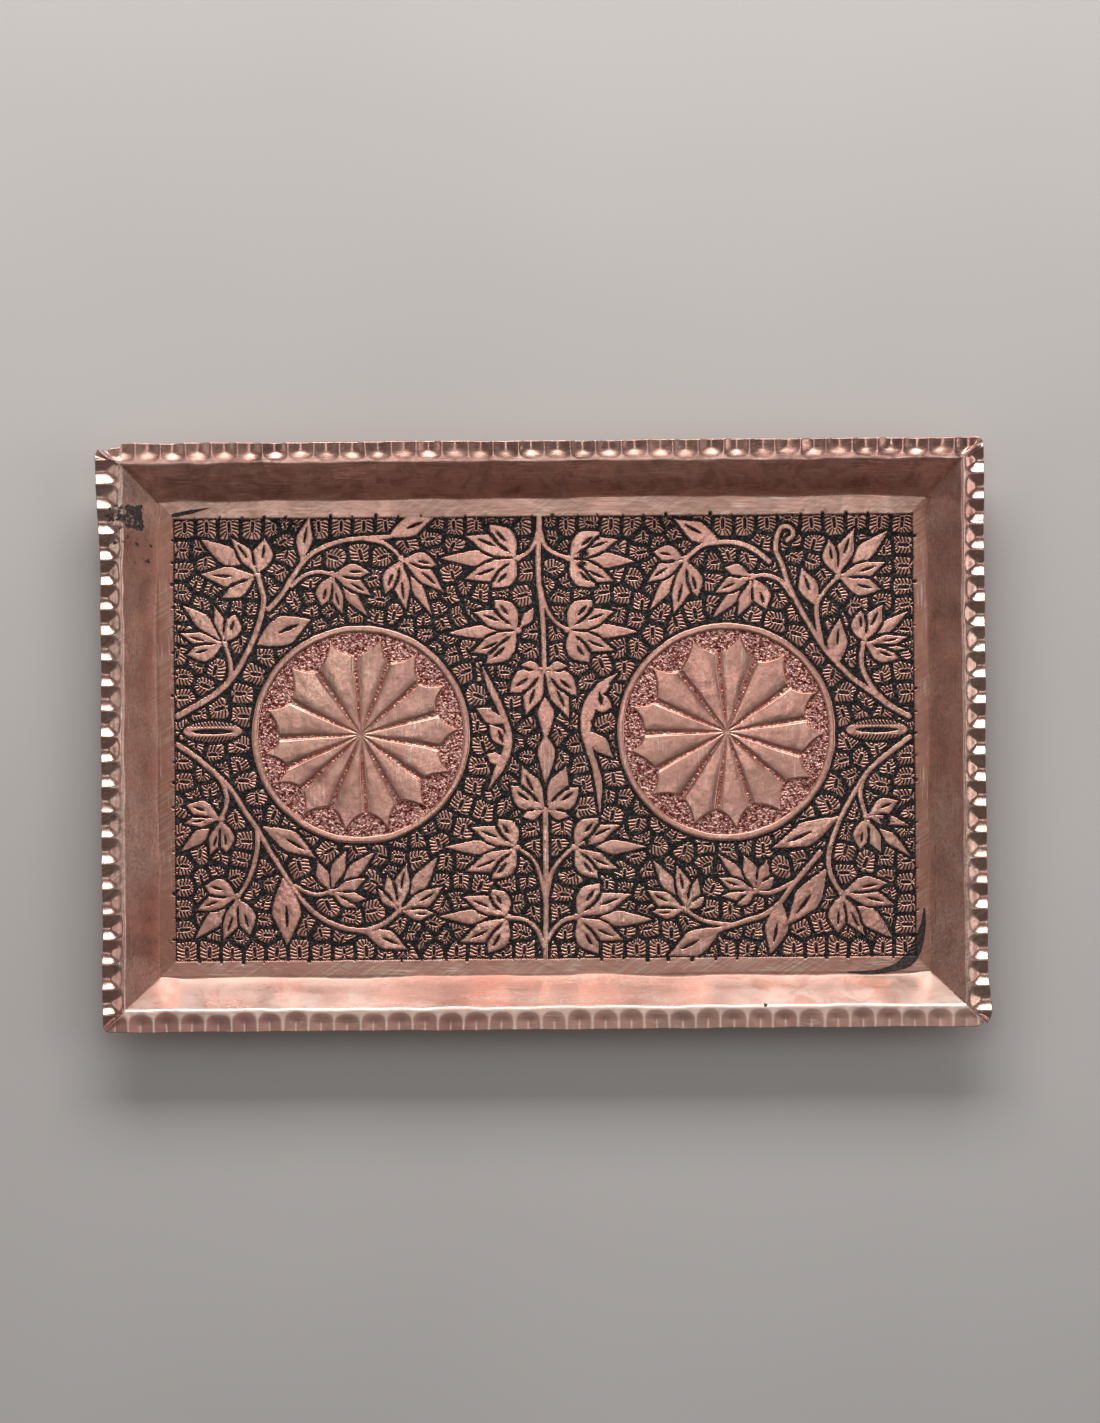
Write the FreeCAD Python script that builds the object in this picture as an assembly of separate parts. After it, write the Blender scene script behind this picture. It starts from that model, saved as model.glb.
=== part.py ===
# Chased copper tray: a floor panel, four bent border strips with a hammered fluted rim,
# the solder that joins them and the black lac that fills the chased ground.
# Millimetres, +Z up, X along the length, Y across, origin in the middle of the resting face.
import os
from math import atan2, cos, pi, radians, sin, sqrt, tan

import FreeCAD
import Part
from FreeCAD import Vector

# overall sizes
OVERALL_LENGTH = 381.0       # X, over the rim
OVERALL_WIDTH = 254.0        # Y, over the rim
RIM_WIDTH = 9.5              # flat flange outside the crest of the wall
WALL_RUN = 14.9              # plan width of the sloping wall
WALL_RISE = 19.0             # tray floor up to the rim
RIM_CORNER_RADIUS = 3.0

# sheet
STRIP_THICKNESS = 0.9
PANEL_THICKNESS = 1.2
FOOT_WIDTH = 8.0             # flange lapped under the floor panel
BEND_RADIUS = 1.2            # inside radius of both bends
PANEL_EDGE_CLEARANCE = 0.15  # floor panel edge to the bend of the wall

# solder
SOLDER_FILM = 0.15           # between foot flange and floor panel
FILM_INSET = 0.4             # film kept back from the edges it joins
MITRE_GAP = 0.3              # filled by the corner seams
SEAM_BEAD_RADIUS = 0.7       # fillet along the outside of a corner

# hammered rim
FLUTES_LONG = 34
FLUTES_SHORT = 23
FLUTE_DEPTH = 2.2
RIDGE_WIDTH = 0.6            # land left between two flutes
FLUTE_SETBACK = 0.8          # crest of the wall to the scooped end of a flute

# chased floor
PLAIN_MARGIN = 6.7           # wall foot to the chased field
CHASE_DEPTH = 0.5
LAC_THICKNESS = 0.2
MEDALLION_DIAMETER = 94.5    # over the bead
MEDALLION_SPACING = 158.0    # centre to centre
MEDALLION_OFFSET = 1.5       # centres back from the middle of the tray
BEAD_WIDTH = 2.8
BEAD_CROWN = 0.3
PETALS_LEFT = 14
PETALS_RIGHT = 13
PETAL_TIP_GAP = 2.0          # petal tips to the inside of the bead
PETAL_TIP_LENGTH = 8.5       # valley between two petals out to their tips
PETAL_TIP_HOLLOW = 0.5       # how far the sides of a tip curve in
GROOVE_DEPTH = 0.4
GROOVE_WIDTH = 2.0
HEART_DIAMETER = 3.2         # punched hollow where the grooves meet

# leaves and stems left standing in the chased field
STEM_WIDTH = 2.6
STEM_END = 31.0              # the two middle stems stop this far from the middle of the tray
BRANCH_GAP = 13.0            # bead to the branch that curves round a medallion
BRANCH_START = 8.0           # degrees round the medallion, from the end wall
BRANCH_END = 100.0
BRANCH_SPRAYS = (20.0, 58.0, 96.0)
STEM_SPRAYS = (46.0, 81.0)   # distance of the paired sprays from the middle of the tray
SPRAY_OFFSET = 5.0           # stem to the foot of a paired spray
LOBES = 5
FAN_ANGLE = 124.0            # first lobe of a spray to its last
LOBE_LENGTH = 18.5
LOBE_WIDTH = 4.6
ISLAND_GAP = 1.6             # leaves stop short of the beads and of the field's edge

# places that follow from the sizes
WALL_ANGLE = atan2(WALL_RISE, WALL_RUN)
FLOOR_TOP = STRIP_THICKNESS + SOLDER_FILM + PANEL_THICKNESS
RIM_TOP = FLOOR_TOP + WALL_RISE
BORDER = RIM_WIDTH + WALL_RUN
FOOT_BEND = -(FLOOR_TOP - STRIP_THICKNESS) / tan(WALL_ANGLE)
FOOT_START = FOOT_BEND - FOOT_WIDTH
BEND_TANGENT = BEND_RADIUS * tan(WALL_ANGLE / 2)
BEND_REACH = sqrt(BEND_RADIUS ** 2 - (BEND_RADIUS - SOLDER_FILM) ** 2)
PANEL_EDGE = FOOT_BEND - BEND_TANGENT + BEND_REACH - PANEL_EDGE_CLEARANCE
HALF_FLOOR_X = OVERALL_LENGTH / 2 - BORDER
HALF_FLOOR_Y = OVERALL_WIDTH / 2 - BORDER
MITRE_BACK = MITRE_GAP / sqrt(2)
SPARE = 5.0                  # how far cutting solids run past what they cut


def prism(outline, bottom, height):
    """Upright prism over a closed list of plan points."""
    points = [Vector(x, y, bottom) for x, y in outline]
    wire = Part.makePolygon(points + points[:1])
    return Part.Face(wire).extrude(Vector(0, 0, height))


def disc(radius, centre, bottom, height):
    return Part.makeCylinder(radius, height, Vector(centre[0], centre[1], bottom))


def turned(shape, quarter_turns):
    copy = shape.copy()
    copy.rotate(Vector(0, 0, 0), Vector(0, 0, 1), 90 * quarter_turns)
    return copy


def corner_arc(before, corner, after, radius):
    """End points and middle of the arc that rounds one corner of a profile."""
    towards = (before - corner).normalize()
    away = (after - corner).normalize()
    half = towards.getAngle(away) / 2
    bisector = (towards + away).normalize()
    centre = corner + bisector * (radius / sin(half))
    tangent = radius / tan(half)
    return corner + towards * tangent, centre - bisector * radius, corner + away * tangent


def strip_profile(foot_line):
    """Cross-section of a border strip in the YZ plane, outward along -Y."""
    shift = STRIP_THICKNESS * tan(WALL_ANGLE / 2)
    tight = BEND_RADIUS
    wide = BEND_RADIUS + STRIP_THICKNESS
    corners = [
        (FOOT_START, STRIP_THICKNESS, 0),
        (FOOT_BEND, STRIP_THICKNESS, tight),
        (WALL_RUN, RIM_TOP, wide),
        (BORDER, RIM_TOP, 0),
        (BORDER, RIM_TOP - STRIP_THICKNESS, 0),
        (WALL_RUN + shift, RIM_TOP - STRIP_THICKNESS, tight),
        (FOOT_BEND + shift, 0, wide),
        (FOOT_START, 0, 0),
    ]
    points = [Vector(0, -(foot_line + u), z) for u, z, r in corners]
    edges = []
    last = points[0]
    for i in range(1, len(points)):
        if corners[i][2] == 0:
            edges.append(Part.makeLine(last, points[i]))
            last = points[i]
            continue
        start, middle, end = corner_arc(points[i - 1], points[i], points[i + 1], corners[i][2])
        edges.append(Part.makeLine(last, start))
        edges.append(Part.Arc(start, middle, end).toShape())
        last = end
    edges.append(Part.makeLine(last, points[0]))
    return Part.Face(Part.Wire(edges))


def flute_tool(radius, axis_z, scoop_at, outer_end, x):
    """Round-nosed bar lying across the rim, nose towards the tray."""
    nose = Vector(0, scoop_at + radius, axis_z)
    heart = Vector(0, scoop_at, axis_z)
    flank = Vector(0, scoop_at + radius * sin(pi / 4), axis_z + radius * cos(pi / 4))
    side = Vector(0, scoop_at, axis_z + radius)
    far_side = Vector(0, outer_end, axis_z + radius)
    far_heart = Vector(0, outer_end, axis_z)
    edges = [
        Part.Arc(nose, flank, side).toShape(),
        Part.makeLine(side, far_side),
        Part.makeLine(far_side, far_heart),
        Part.makeLine(far_heart, nose),
    ]
    bar = Part.Face(Part.Wire(edges)).revolve(heart, Vector(0, 1, 0), 360)
    bar.translate(Vector(x, 0, 0))
    return bar


def fluted_strip(length, foot_line, flutes):
    """Border strip before its ends are mitred."""
    profile = strip_profile(foot_line)
    profile.translate(Vector(-length / 2, 0, 0))
    strip = profile.extrude(Vector(length, 0, 0))
    pitch = length / flutes
    half = (pitch - RIDGE_WIDTH) / 2
    radius = (half ** 2 + FLUTE_DEPTH ** 2) / (2 * FLUTE_DEPTH)
    axis_z = RIM_TOP + radius - FLUTE_DEPTH
    scoop_at = -(foot_line + WALL_RUN + FLUTE_SETBACK + half)
    outer_edge = -(foot_line + BORDER)
    spots = [pitch * (i + 0.5) - length / 2 for i in range(flutes)]
    backs = [
        flute_tool(radius + STRIP_THICKNESS, axis_z, scoop_at, outer_edge - SPARE, x)
        for x in spots
    ]
    rim_zone = Part.makeBox(
        length,
        RIM_WIDTH,
        FLUTE_DEPTH + 2 * STRIP_THICKNESS,
        Vector(-length / 2, outer_edge, RIM_TOP - FLUTE_DEPTH - 2 * STRIP_THICKNESS),
    )
    backing = rim_zone.common(backs[0].fuse(backs[1:]))
    hollows = [flute_tool(radius, axis_z, scoop_at, outer_edge - SPARE, x) for x in spots]
    return strip.fuse(backing).removeSplitter().cut(hollows)


def rim_outline():
    """Rounded rectangle over the whole tray."""
    block = Part.makeBox(
        OVERALL_LENGTH,
        OVERALL_WIDTH,
        RIM_TOP + 2 * SPARE,
        Vector(-OVERALL_LENGTH / 2, -OVERALL_WIDTH / 2, -SPARE),
    )
    upright = [e for e in block.Edges if abs(e.tangentAt(e.FirstParameter).z) > 0.9]
    return block.makeFillet(RIM_CORNER_RADIUS, upright)


def mitre_wedge(half_floor, foot_line):
    """Room a strip may fill between the mitres at its two ends."""
    inner = FOOT_START - SPARE
    outer = BORDER + SPARE
    reach_in = half_floor + inner - MITRE_BACK
    reach_out = half_floor + outer - MITRE_BACK
    plan = [
        (-reach_in, -(foot_line + inner)),
        (reach_in, -(foot_line + inner)),
        (reach_out, -(foot_line + outer)),
        (-reach_out, -(foot_line + outer)),
    ]
    return prism(plan, -SPARE, RIM_TOP + 2 * SPARE)


def seam_slice(half_floor, foot_line, end, outer):
    """Half the width of a mitre gap, on the strip's side of the corner."""
    inner = FOOT_START - SPARE
    plan = [
        (end * (half_floor + inner - MITRE_BACK), -(foot_line + inner)),
        (end * (half_floor + inner), -(foot_line + inner)),
        (end * (half_floor + outer), -(foot_line + outer)),
        (end * (half_floor + outer - MITRE_BACK), -(foot_line + outer)),
    ]
    return prism(plan, -SPARE, RIM_TOP + 2 * SPARE)


def seam_bead(corner_x, corner_y):
    """Round fillet of solder under a corner, along the outside edge of the walls."""
    shift = STRIP_THICKNESS * tan(WALL_ANGLE / 2)
    low = FOOT_BEND + shift
    high = WALL_RUN + shift
    sx = 1 if corner_x > 0 else -1
    sy = 1 if corner_y > 0 else -1
    start = Vector(corner_x + sx * low, corner_y + sy * low, 0)
    end = Vector(corner_x + sx * high, corner_y + sy * high, RIM_TOP - STRIP_THICKNESS)
    bead = Part.makeCylinder(SEAM_BEAD_RADIUS, (end - start).Length, start, end - start)
    room = Part.makeBox(
        OVERALL_LENGTH,
        OVERALL_WIDTH,
        RIM_TOP - STRIP_THICKNESS,
        Vector(-OVERALL_LENGTH / 2, -OVERALL_WIDTH / 2, 0),
    )
    return bead.common(room)


def border_and_corners():
    """The four mitred strips and the four corner seams."""
    long_side = fluted_strip(OVERALL_LENGTH, HALF_FLOOR_Y, FLUTES_LONG)
    short_side = fluted_strip(OVERALL_WIDTH, HALF_FLOOR_X, FLUTES_SHORT)
    outline = rim_outline()
    sides = {
        "front": (long_side, HALF_FLOOR_X, HALF_FLOOR_Y, 0),
        "right": (short_side, HALF_FLOOR_Y, HALF_FLOOR_X, 1),
        "back": (long_side, HALF_FLOOR_X, HALF_FLOOR_Y, 2),
        "left": (short_side, HALF_FLOOR_Y, HALF_FLOOR_X, 3),
    }
    nodes = {}
    for name, (blank, half_floor, foot_line, turns) in sides.items():
        strip = blank.common(mitre_wedge(half_floor, foot_line))
        nodes["border_strip_" + name] = turned(strip, turns).common(outline)
    # each corner: the side whose right-hand end meets it, then the next side round
    corners = {
        "front_right": ("front", "right", 1, -1, WALL_RUN),
        "back_right": ("right", "back", 1, 1, BORDER),
        "back_left": ("back", "left", -1, 1, BORDER),
        "front_left": ("left", "front", -1, -1, BORDER),
    }
    for name, (first, second, sx, sy, outer) in corners.items():
        halves = []
        for side, end in ((first, 1), (second, -1)):
            blank, half_floor, foot_line, turns = sides[side]
            piece = blank.common(seam_slice(half_floor, foot_line, end, outer))
            halves.append(turned(piece, turns))
        sheet = halves[0].fuse(halves[1]).common(outline)
        strips = [nodes["border_strip_" + first], nodes["border_strip_" + second]]
        bead = seam_bead(sx * HALF_FLOOR_X, sy * HALF_FLOOR_Y).cut(strips)
        nodes["corner_seam_" + name] = sheet.fuse(bead).removeSplitter()
    return nodes


def foot_solder():
    """Thin films that hold the floor panel down on the foot flanges."""
    nodes = {}
    inner = FOOT_START + FILM_INSET
    outer = PANEL_EDGE - FILM_INSET
    sides = (
        ("front", HALF_FLOOR_X, HALF_FLOOR_Y, 0),
        ("right", HALF_FLOOR_Y, HALF_FLOOR_X, 1),
        ("back", HALF_FLOOR_X, HALF_FLOOR_Y, 2),
        ("left", HALF_FLOOR_Y, HALF_FLOOR_X, 3),
    )
    for name, half_floor, foot_line, turns in sides:
        plan = [
            (-(half_floor + inner - FILM_INSET), -(foot_line + inner)),
            (half_floor + inner - FILM_INSET, -(foot_line + inner)),
            (half_floor + outer - FILM_INSET, -(foot_line + outer)),
            (-(half_floor + outer - FILM_INSET), -(foot_line + outer)),
        ]
        film = prism(plan, STRIP_THICKNESS, SOLDER_FILM)
        nodes["foot_solder_" + name] = turned(film, turns)
    return nodes


def medallions():
    """Centre and petal count of each medallion."""
    half = MEDALLION_SPACING / 2
    return (
        ((-half, MEDALLION_OFFSET), PETALS_LEFT),
        ((half, MEDALLION_OFFSET), PETALS_RIGHT),
    )


def petal_radii():
    tip = MEDALLION_DIAMETER / 2 - BEAD_WIDTH - PETAL_TIP_GAP
    return tip - PETAL_TIP_LENGTH, tip


def rosette(centre, petals, bottom, height):
    """Star of petals with hollow-sided tips."""
    valley, tip = petal_radii()

    def at(radius, step):
        angle = 2 * pi * step / petals
        return Vector(centre[0] + radius * cos(angle), centre[1] + radius * sin(angle), bottom)

    edges = []
    for i in range(petals):
        start = at(valley, i - 0.5)
        point = at(tip, i)
        end = at(valley, i + 0.5)
        for a, b in ((start, point), (point, end)):
            middle = (a + b) * 0.5
            inward = (Vector(centre[0], centre[1], bottom) - middle).normalize()
            edges.append(Part.Arc(a, middle + inward * PETAL_TIP_HOLLOW, b).toShape())
    return Part.Face(Part.Wire(edges)).extrude(Vector(0, 0, height))


def petal_grooves(centre, petals):
    """V cuts that run from the heart of the rosette out between the petals."""
    valley, tip = petal_radii()
    grooves = []
    for i in range(petals):
        low = Vector(0, 0, FLOOR_TOP - GROOVE_DEPTH)
        left = Vector(0, GROOVE_WIDTH / 2, FLOOR_TOP)
        right = Vector(0, -GROOVE_WIDTH / 2, FLOOR_TOP)
        wire = Part.makePolygon([low, left, right, low])
        groove = Part.Face(wire).extrude(Vector(valley + GROOVE_WIDTH, 0, 0))
        groove.rotate(Vector(0, 0, 0), Vector(0, 0, 1), 360.0 * (i + 0.5) / petals)
        groove.translate(Vector(centre[0], centre[1], 0))
        grooves.append(groove)
    return grooves


def bead_crown(centre):
    """Rounded top of the ring round a medallion."""
    outer = MEDALLION_DIAMETER / 2
    inner = outer - BEAD_WIDTH
    middle = (outer + inner) / 2
    arc = Part.Arc(
        Vector(inner, 0, FLOOR_TOP),
        Vector(middle, 0, FLOOR_TOP + BEAD_CROWN),
        Vector(outer, 0, FLOOR_TOP),
    ).toShape()
    chord = Part.makeLine(Vector(outer, 0, FLOOR_TOP), Vector(inner, 0, FLOOR_TOP))
    ring = Part.Face(Part.Wire([arc, chord])).revolve(Vector(0, 0, 0), Vector(0, 0, 1), 360)
    ring.translate(Vector(centre[0], centre[1], 0))
    return ring


def field_less_medallions(gap, bottom, height):
    """Block over the chased field, kept a gap back from its edge and from the beads."""
    half_x = HALF_FLOOR_X - PLAIN_MARGIN - gap
    half_y = HALF_FLOOR_Y - PLAIN_MARGIN - gap
    field = Part.makeBox(2 * half_x, 2 * half_y, height, Vector(-half_x, -half_y, bottom))
    discs = [
        disc(MEDALLION_DIAMETER / 2 + gap, centre, bottom - SPARE, height + 2 * SPARE)
        for centre, petals in medallions()
    ]
    return field.cut(discs)


def lobe(foot, direction, bottom, height):
    """One pointed leaf, its sides two arcs."""
    along = Vector(cos(direction), sin(direction), 0)
    across = Vector(-along.y, along.x, 0)
    base = Vector(foot[0], foot[1], bottom)
    tip = base + along * LOBE_LENGTH
    middle = (base + tip) * 0.5
    half_width = across * (LOBE_WIDTH / 2)
    sides = [
        Part.Arc(base, middle + half_width, tip).toShape(),
        Part.Arc(tip, middle - half_width, base).toShape(),
    ]
    return Part.Face(Part.Wire(sides)).extrude(Vector(0, 0, height))


def spray(foot, direction, bottom, height):
    """Fan of lobes round one foot; the direction is in degrees."""
    pieces = [disc(STEM_WIDTH / 2, foot, bottom, height)]
    for i in range(LOBES):
        turn = FAN_ANGLE * (i / (LOBES - 1) - 0.5)
        pieces.append(lobe(foot, radians(direction + turn), bottom, height))
    return pieces


def branch(centre, sx, sy, bottom, height):
    """Stem curving round a medallion with sprays on its outer side, in one quarter."""
    radius = MEDALLION_DIAMETER / 2 + BRANCH_GAP
    outer = disc(radius + STEM_WIDTH / 2, centre, bottom, height)
    ring = outer.cut(disc(radius - STEM_WIDTH / 2, centre, bottom, height))
    reach = 2 * radius
    sector = [centre]
    for share in (0, 0.5, 1):
        angle = radians(BRANCH_START + share * (BRANCH_END - BRANCH_START))
        sector.append((centre[0] + sx * reach * cos(angle), centre[1] + sy * reach * sin(angle)))
    pieces = [ring.common(prism(sector, bottom, height))]
    for angle in BRANCH_SPRAYS:
        turn = radians(angle)
        foot = (centre[0] + sx * radius * cos(turn), centre[1] + sy * radius * sin(turn))
        pieces.extend(spray(foot, atan2(sy * sin(turn), sx * cos(turn)) * 180 / pi, bottom, height))
    return pieces


def middle_stem(sy, bottom, height):
    """Straight stem from one long wall towards the middle, with a spray on its end."""
    reach = HALF_FLOOR_Y - STEM_END
    stem = Part.makeBox(STEM_WIDTH, reach, height, Vector(-STEM_WIDTH / 2, -reach / 2, bottom))
    stem.translate(Vector(0, sy * (STEM_END + reach / 2), 0))
    pieces = [stem] + spray((0, sy * STEM_END), -90 * sy, bottom, height)
    for y in STEM_SPRAYS:
        for sx in (1, -1):
            pieces.extend(spray((sx * SPRAY_OFFSET, sy * y), 90 - 90 * sx, bottom, height))
            twig = Part.makeBox(SPRAY_OFFSET, STEM_WIDTH, height, Vector(0, -STEM_WIDTH / 2, bottom))
            twig.translate(Vector(min(0, sx * SPRAY_OFFSET), sy * y, 0))
            pieces.append(twig)
    return pieces


def leaf_work(bottom, height):
    """Every leaf and stem of the field, kept clear of the beads and the field's edge."""
    pieces = []
    for sy in (1, -1):
        pieces.extend(middle_stem(sy, bottom, height))
        for centre, petals in medallions():
            sx = 1 if centre[0] > 0 else -1
            pieces.extend(branch(centre, sx, sy, bottom, height))
    room = field_less_medallions(ISLAND_GAP, bottom, height)
    return pieces[0].fuse(pieces[1:]).common(room)


def chased_field(bottom, height):
    """Ground of the chased field, less the medallions and the leaves."""
    field = field_less_medallions(0, bottom, height)
    return field.cut(leaf_work(bottom - SPARE, height + 2 * SPARE))


def floor_panel():
    half_x = HALF_FLOOR_X + PANEL_EDGE
    half_y = HALF_FLOOR_Y + PANEL_EDGE
    bottom = FLOOR_TOP - PANEL_THICKNESS
    panel = Part.makeBox(2 * half_x, 2 * half_y, PANEL_THICKNESS, Vector(-half_x, -half_y, bottom))
    ground = FLOOR_TOP - CHASE_DEPTH
    cuts = [chased_field(ground, CHASE_DEPTH)]
    crowns = []
    for centre, petals in medallions():
        well = disc(MEDALLION_DIAMETER / 2 - BEAD_WIDTH, centre, ground, CHASE_DEPTH)
        star = rosette(centre, petals, ground - SPARE, CHASE_DEPTH + 2 * SPARE)
        cuts.append(well.cut(star))
        cuts.append(disc(HEART_DIAMETER / 2, centre, ground, CHASE_DEPTH))
        cuts.extend(petal_grooves(centre, petals))
        crowns.append(bead_crown(centre))
    return panel.cut(cuts).fuse(crowns).removeSplitter()


def black_fill():
    """Lac lying in the bottom of the chased ground."""
    return chased_field(FLOOR_TOP - CHASE_DEPTH, LAC_THICKNESS)


def main():
    nodes = {"floor_panel": floor_panel(), "black_fill": black_fill()}
    nodes.update(border_and_corners())
    nodes.update(foot_solder())
    os.makedirs("parts", exist_ok=True)
    for name, shape in nodes.items():
        shape.exportStep("parts/" + name + ".step")


main()
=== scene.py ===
"""Looks of the chased copper tray: the leaf work of its floor, the black lac in the sunk ground,
the two rosettes, the hand-beaten border with its fluted rim, and the solder in the corners.

Shapes are worked out in millimetres, in the row frame, and go to metres when a mesh is made.
"""

from math import atan2, ceil, cos, hypot, pi, radians, sin, tan

import bpy
import numpy as np
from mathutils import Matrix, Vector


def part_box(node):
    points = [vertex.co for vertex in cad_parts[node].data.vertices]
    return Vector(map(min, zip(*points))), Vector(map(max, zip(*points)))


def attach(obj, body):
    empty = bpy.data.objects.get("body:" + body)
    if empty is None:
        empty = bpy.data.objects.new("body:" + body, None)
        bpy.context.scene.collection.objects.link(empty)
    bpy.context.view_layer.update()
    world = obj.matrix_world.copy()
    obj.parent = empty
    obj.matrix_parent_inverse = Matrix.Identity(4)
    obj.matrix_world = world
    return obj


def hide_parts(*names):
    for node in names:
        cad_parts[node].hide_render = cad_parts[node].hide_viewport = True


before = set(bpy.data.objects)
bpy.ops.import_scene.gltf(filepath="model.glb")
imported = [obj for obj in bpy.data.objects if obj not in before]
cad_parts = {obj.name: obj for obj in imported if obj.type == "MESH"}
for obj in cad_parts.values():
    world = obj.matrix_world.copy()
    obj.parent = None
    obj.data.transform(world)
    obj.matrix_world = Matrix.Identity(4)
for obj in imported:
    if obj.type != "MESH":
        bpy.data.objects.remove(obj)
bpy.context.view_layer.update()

MM = 0.001
SEED = 7

# ---------------------------------------------------------------- sizes, from the frame


def box_mm(node):
    return [np.array(corner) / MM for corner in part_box(node)]


panel_low, panel_high = box_mm("floor_panel")
lac_low, lac_high = box_mm("black_fill")
front_low, front_high = box_mm("border_strip_front")

HALF_LENGTH = box_mm("border_strip_right")[1][0]
HALF_WIDTH = -front_low[1]
RIM_TOP = front_high[2]
FIELD_X = lac_high[0] + 0.5
FIELD_Y = lac_high[1] - 0.3
FIELD_SHIFT_X = 0.4           # the chased field sits a little off the middle
FIELD_SHIFT_Y = -0.3
PANEL_X = panel_high[0]
PANEL_Y = panel_high[1]
PANEL_UNDER = panel_low[2]
SHEET = box_mm("foot_solder_front")[0][2]  # thickness of the border sheet
CHASE_DEPTH = 0.5             # the chased ground is sunk this far
FLOOR_TOP = lac_low[2] + CHASE_DEPTH
RIM_WIDTH = 9.5
WALL_RUN = 14.9
BORDER = RIM_WIDTH + WALL_RUN
FLOOR_X = HALF_LENGTH - BORDER
FLOOR_Y = HALF_WIDTH - BORDER

MEDALLION_X = 79.0
MEDALLION_Y = 1.5
BEAD_OUTER = 47.2
BEAD_WIDTH = 2.9
BEAD_TRENCH = -0.9            # level of the trench round the bead, from the floor's top surface
TRENCH_WIDTH = 0.9
PETAL_TIP = 42.6              # a petal's tip and the valley beside it, from the rosette's middle
PETAL_VALLEY = 33.8
LAC_LEVEL = -0.34             # top of the lac, from the floor's top surface
LAC_STEP = 3                  # the lac is drawn on every third grid point
LAC_PAST_FIELD = 1.8          # the lac runs this far under the plain margin
GROUND_LEVEL = -0.62          # foot of the copper's bevels
BELOW_CHASING = 1.08          # just under the deepest groove
SOFT_BEND = 0.15              # how gently the floor turns up into the walls
FRONT_FOOT_OUT = 1.2          # three of the walls meet the floor this much farther out
BACK_FOOT_OUT = 0.85
LEFT_FOOT_OUT = 0.8

# Codes of the motifs that are not leaves or blocks, each one that of its first piece
MARGIN_MOTIF = 40
STIPPLE_MOTIF = 50
ROSETTE_MOTIF = 60
BEAD_MOTIF = 70

# ---------------------------------------------------------------- noise


class Lattice:
    """Smooth value noise from a table of random numbers, from -1 to 1."""

    def __init__(self, seed, size=128):
        self.size = size
        self.table = np.random.default_rng(seed).uniform(-1, 1, (size, size)).astype(np.float32)

    def at(self, x, y, scale):
        u = x / scale
        v = y / scale
        iu = np.floor(u).astype(int)
        iv = np.floor(v).astype(int)
        fu = u - iu
        fv = v - iv
        fu = fu * fu * (3 - 2 * fu)
        fv = fv * fv * (3 - 2 * fv)
        n = self.size
        a = self.table[iu % n, iv % n]
        b = self.table[(iu + 1) % n, iv % n]
        c = self.table[iu % n, (iv + 1) % n]
        d = self.table[(iu + 1) % n, (iv + 1) % n]
        return (a * (1 - fu) + b * fu) * (1 - fv) + (c * (1 - fu) + d * fu) * fv


wobble = Lattice(SEED)
grain = Lattice(SEED + 1)
swell = Lattice(SEED + 2)
chance = np.random.default_rng(SEED)


def squarish(u, v, power):
    """Distance from the middle, measured so that a circle of it is squarer the higher the power."""
    return (np.abs(u) ** power + np.abs(v) ** power) ** (1 / power)


def ease(t):
    t = np.clip(t, 0, 1)
    return t * t * (3 - 2 * t)


# ---------------------------------------------------------------- the chased pattern
# Places are millimetres from the middle of the tray, as a chaser would set them out.
# A blade is (tip x, tip y, half width, form). A spray is a node and its blades.
# A leaf or blade that names no form has a slit.

SLIT = "slit"
PLAIN = "plain"
LOZENGE = "lozenge"

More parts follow.
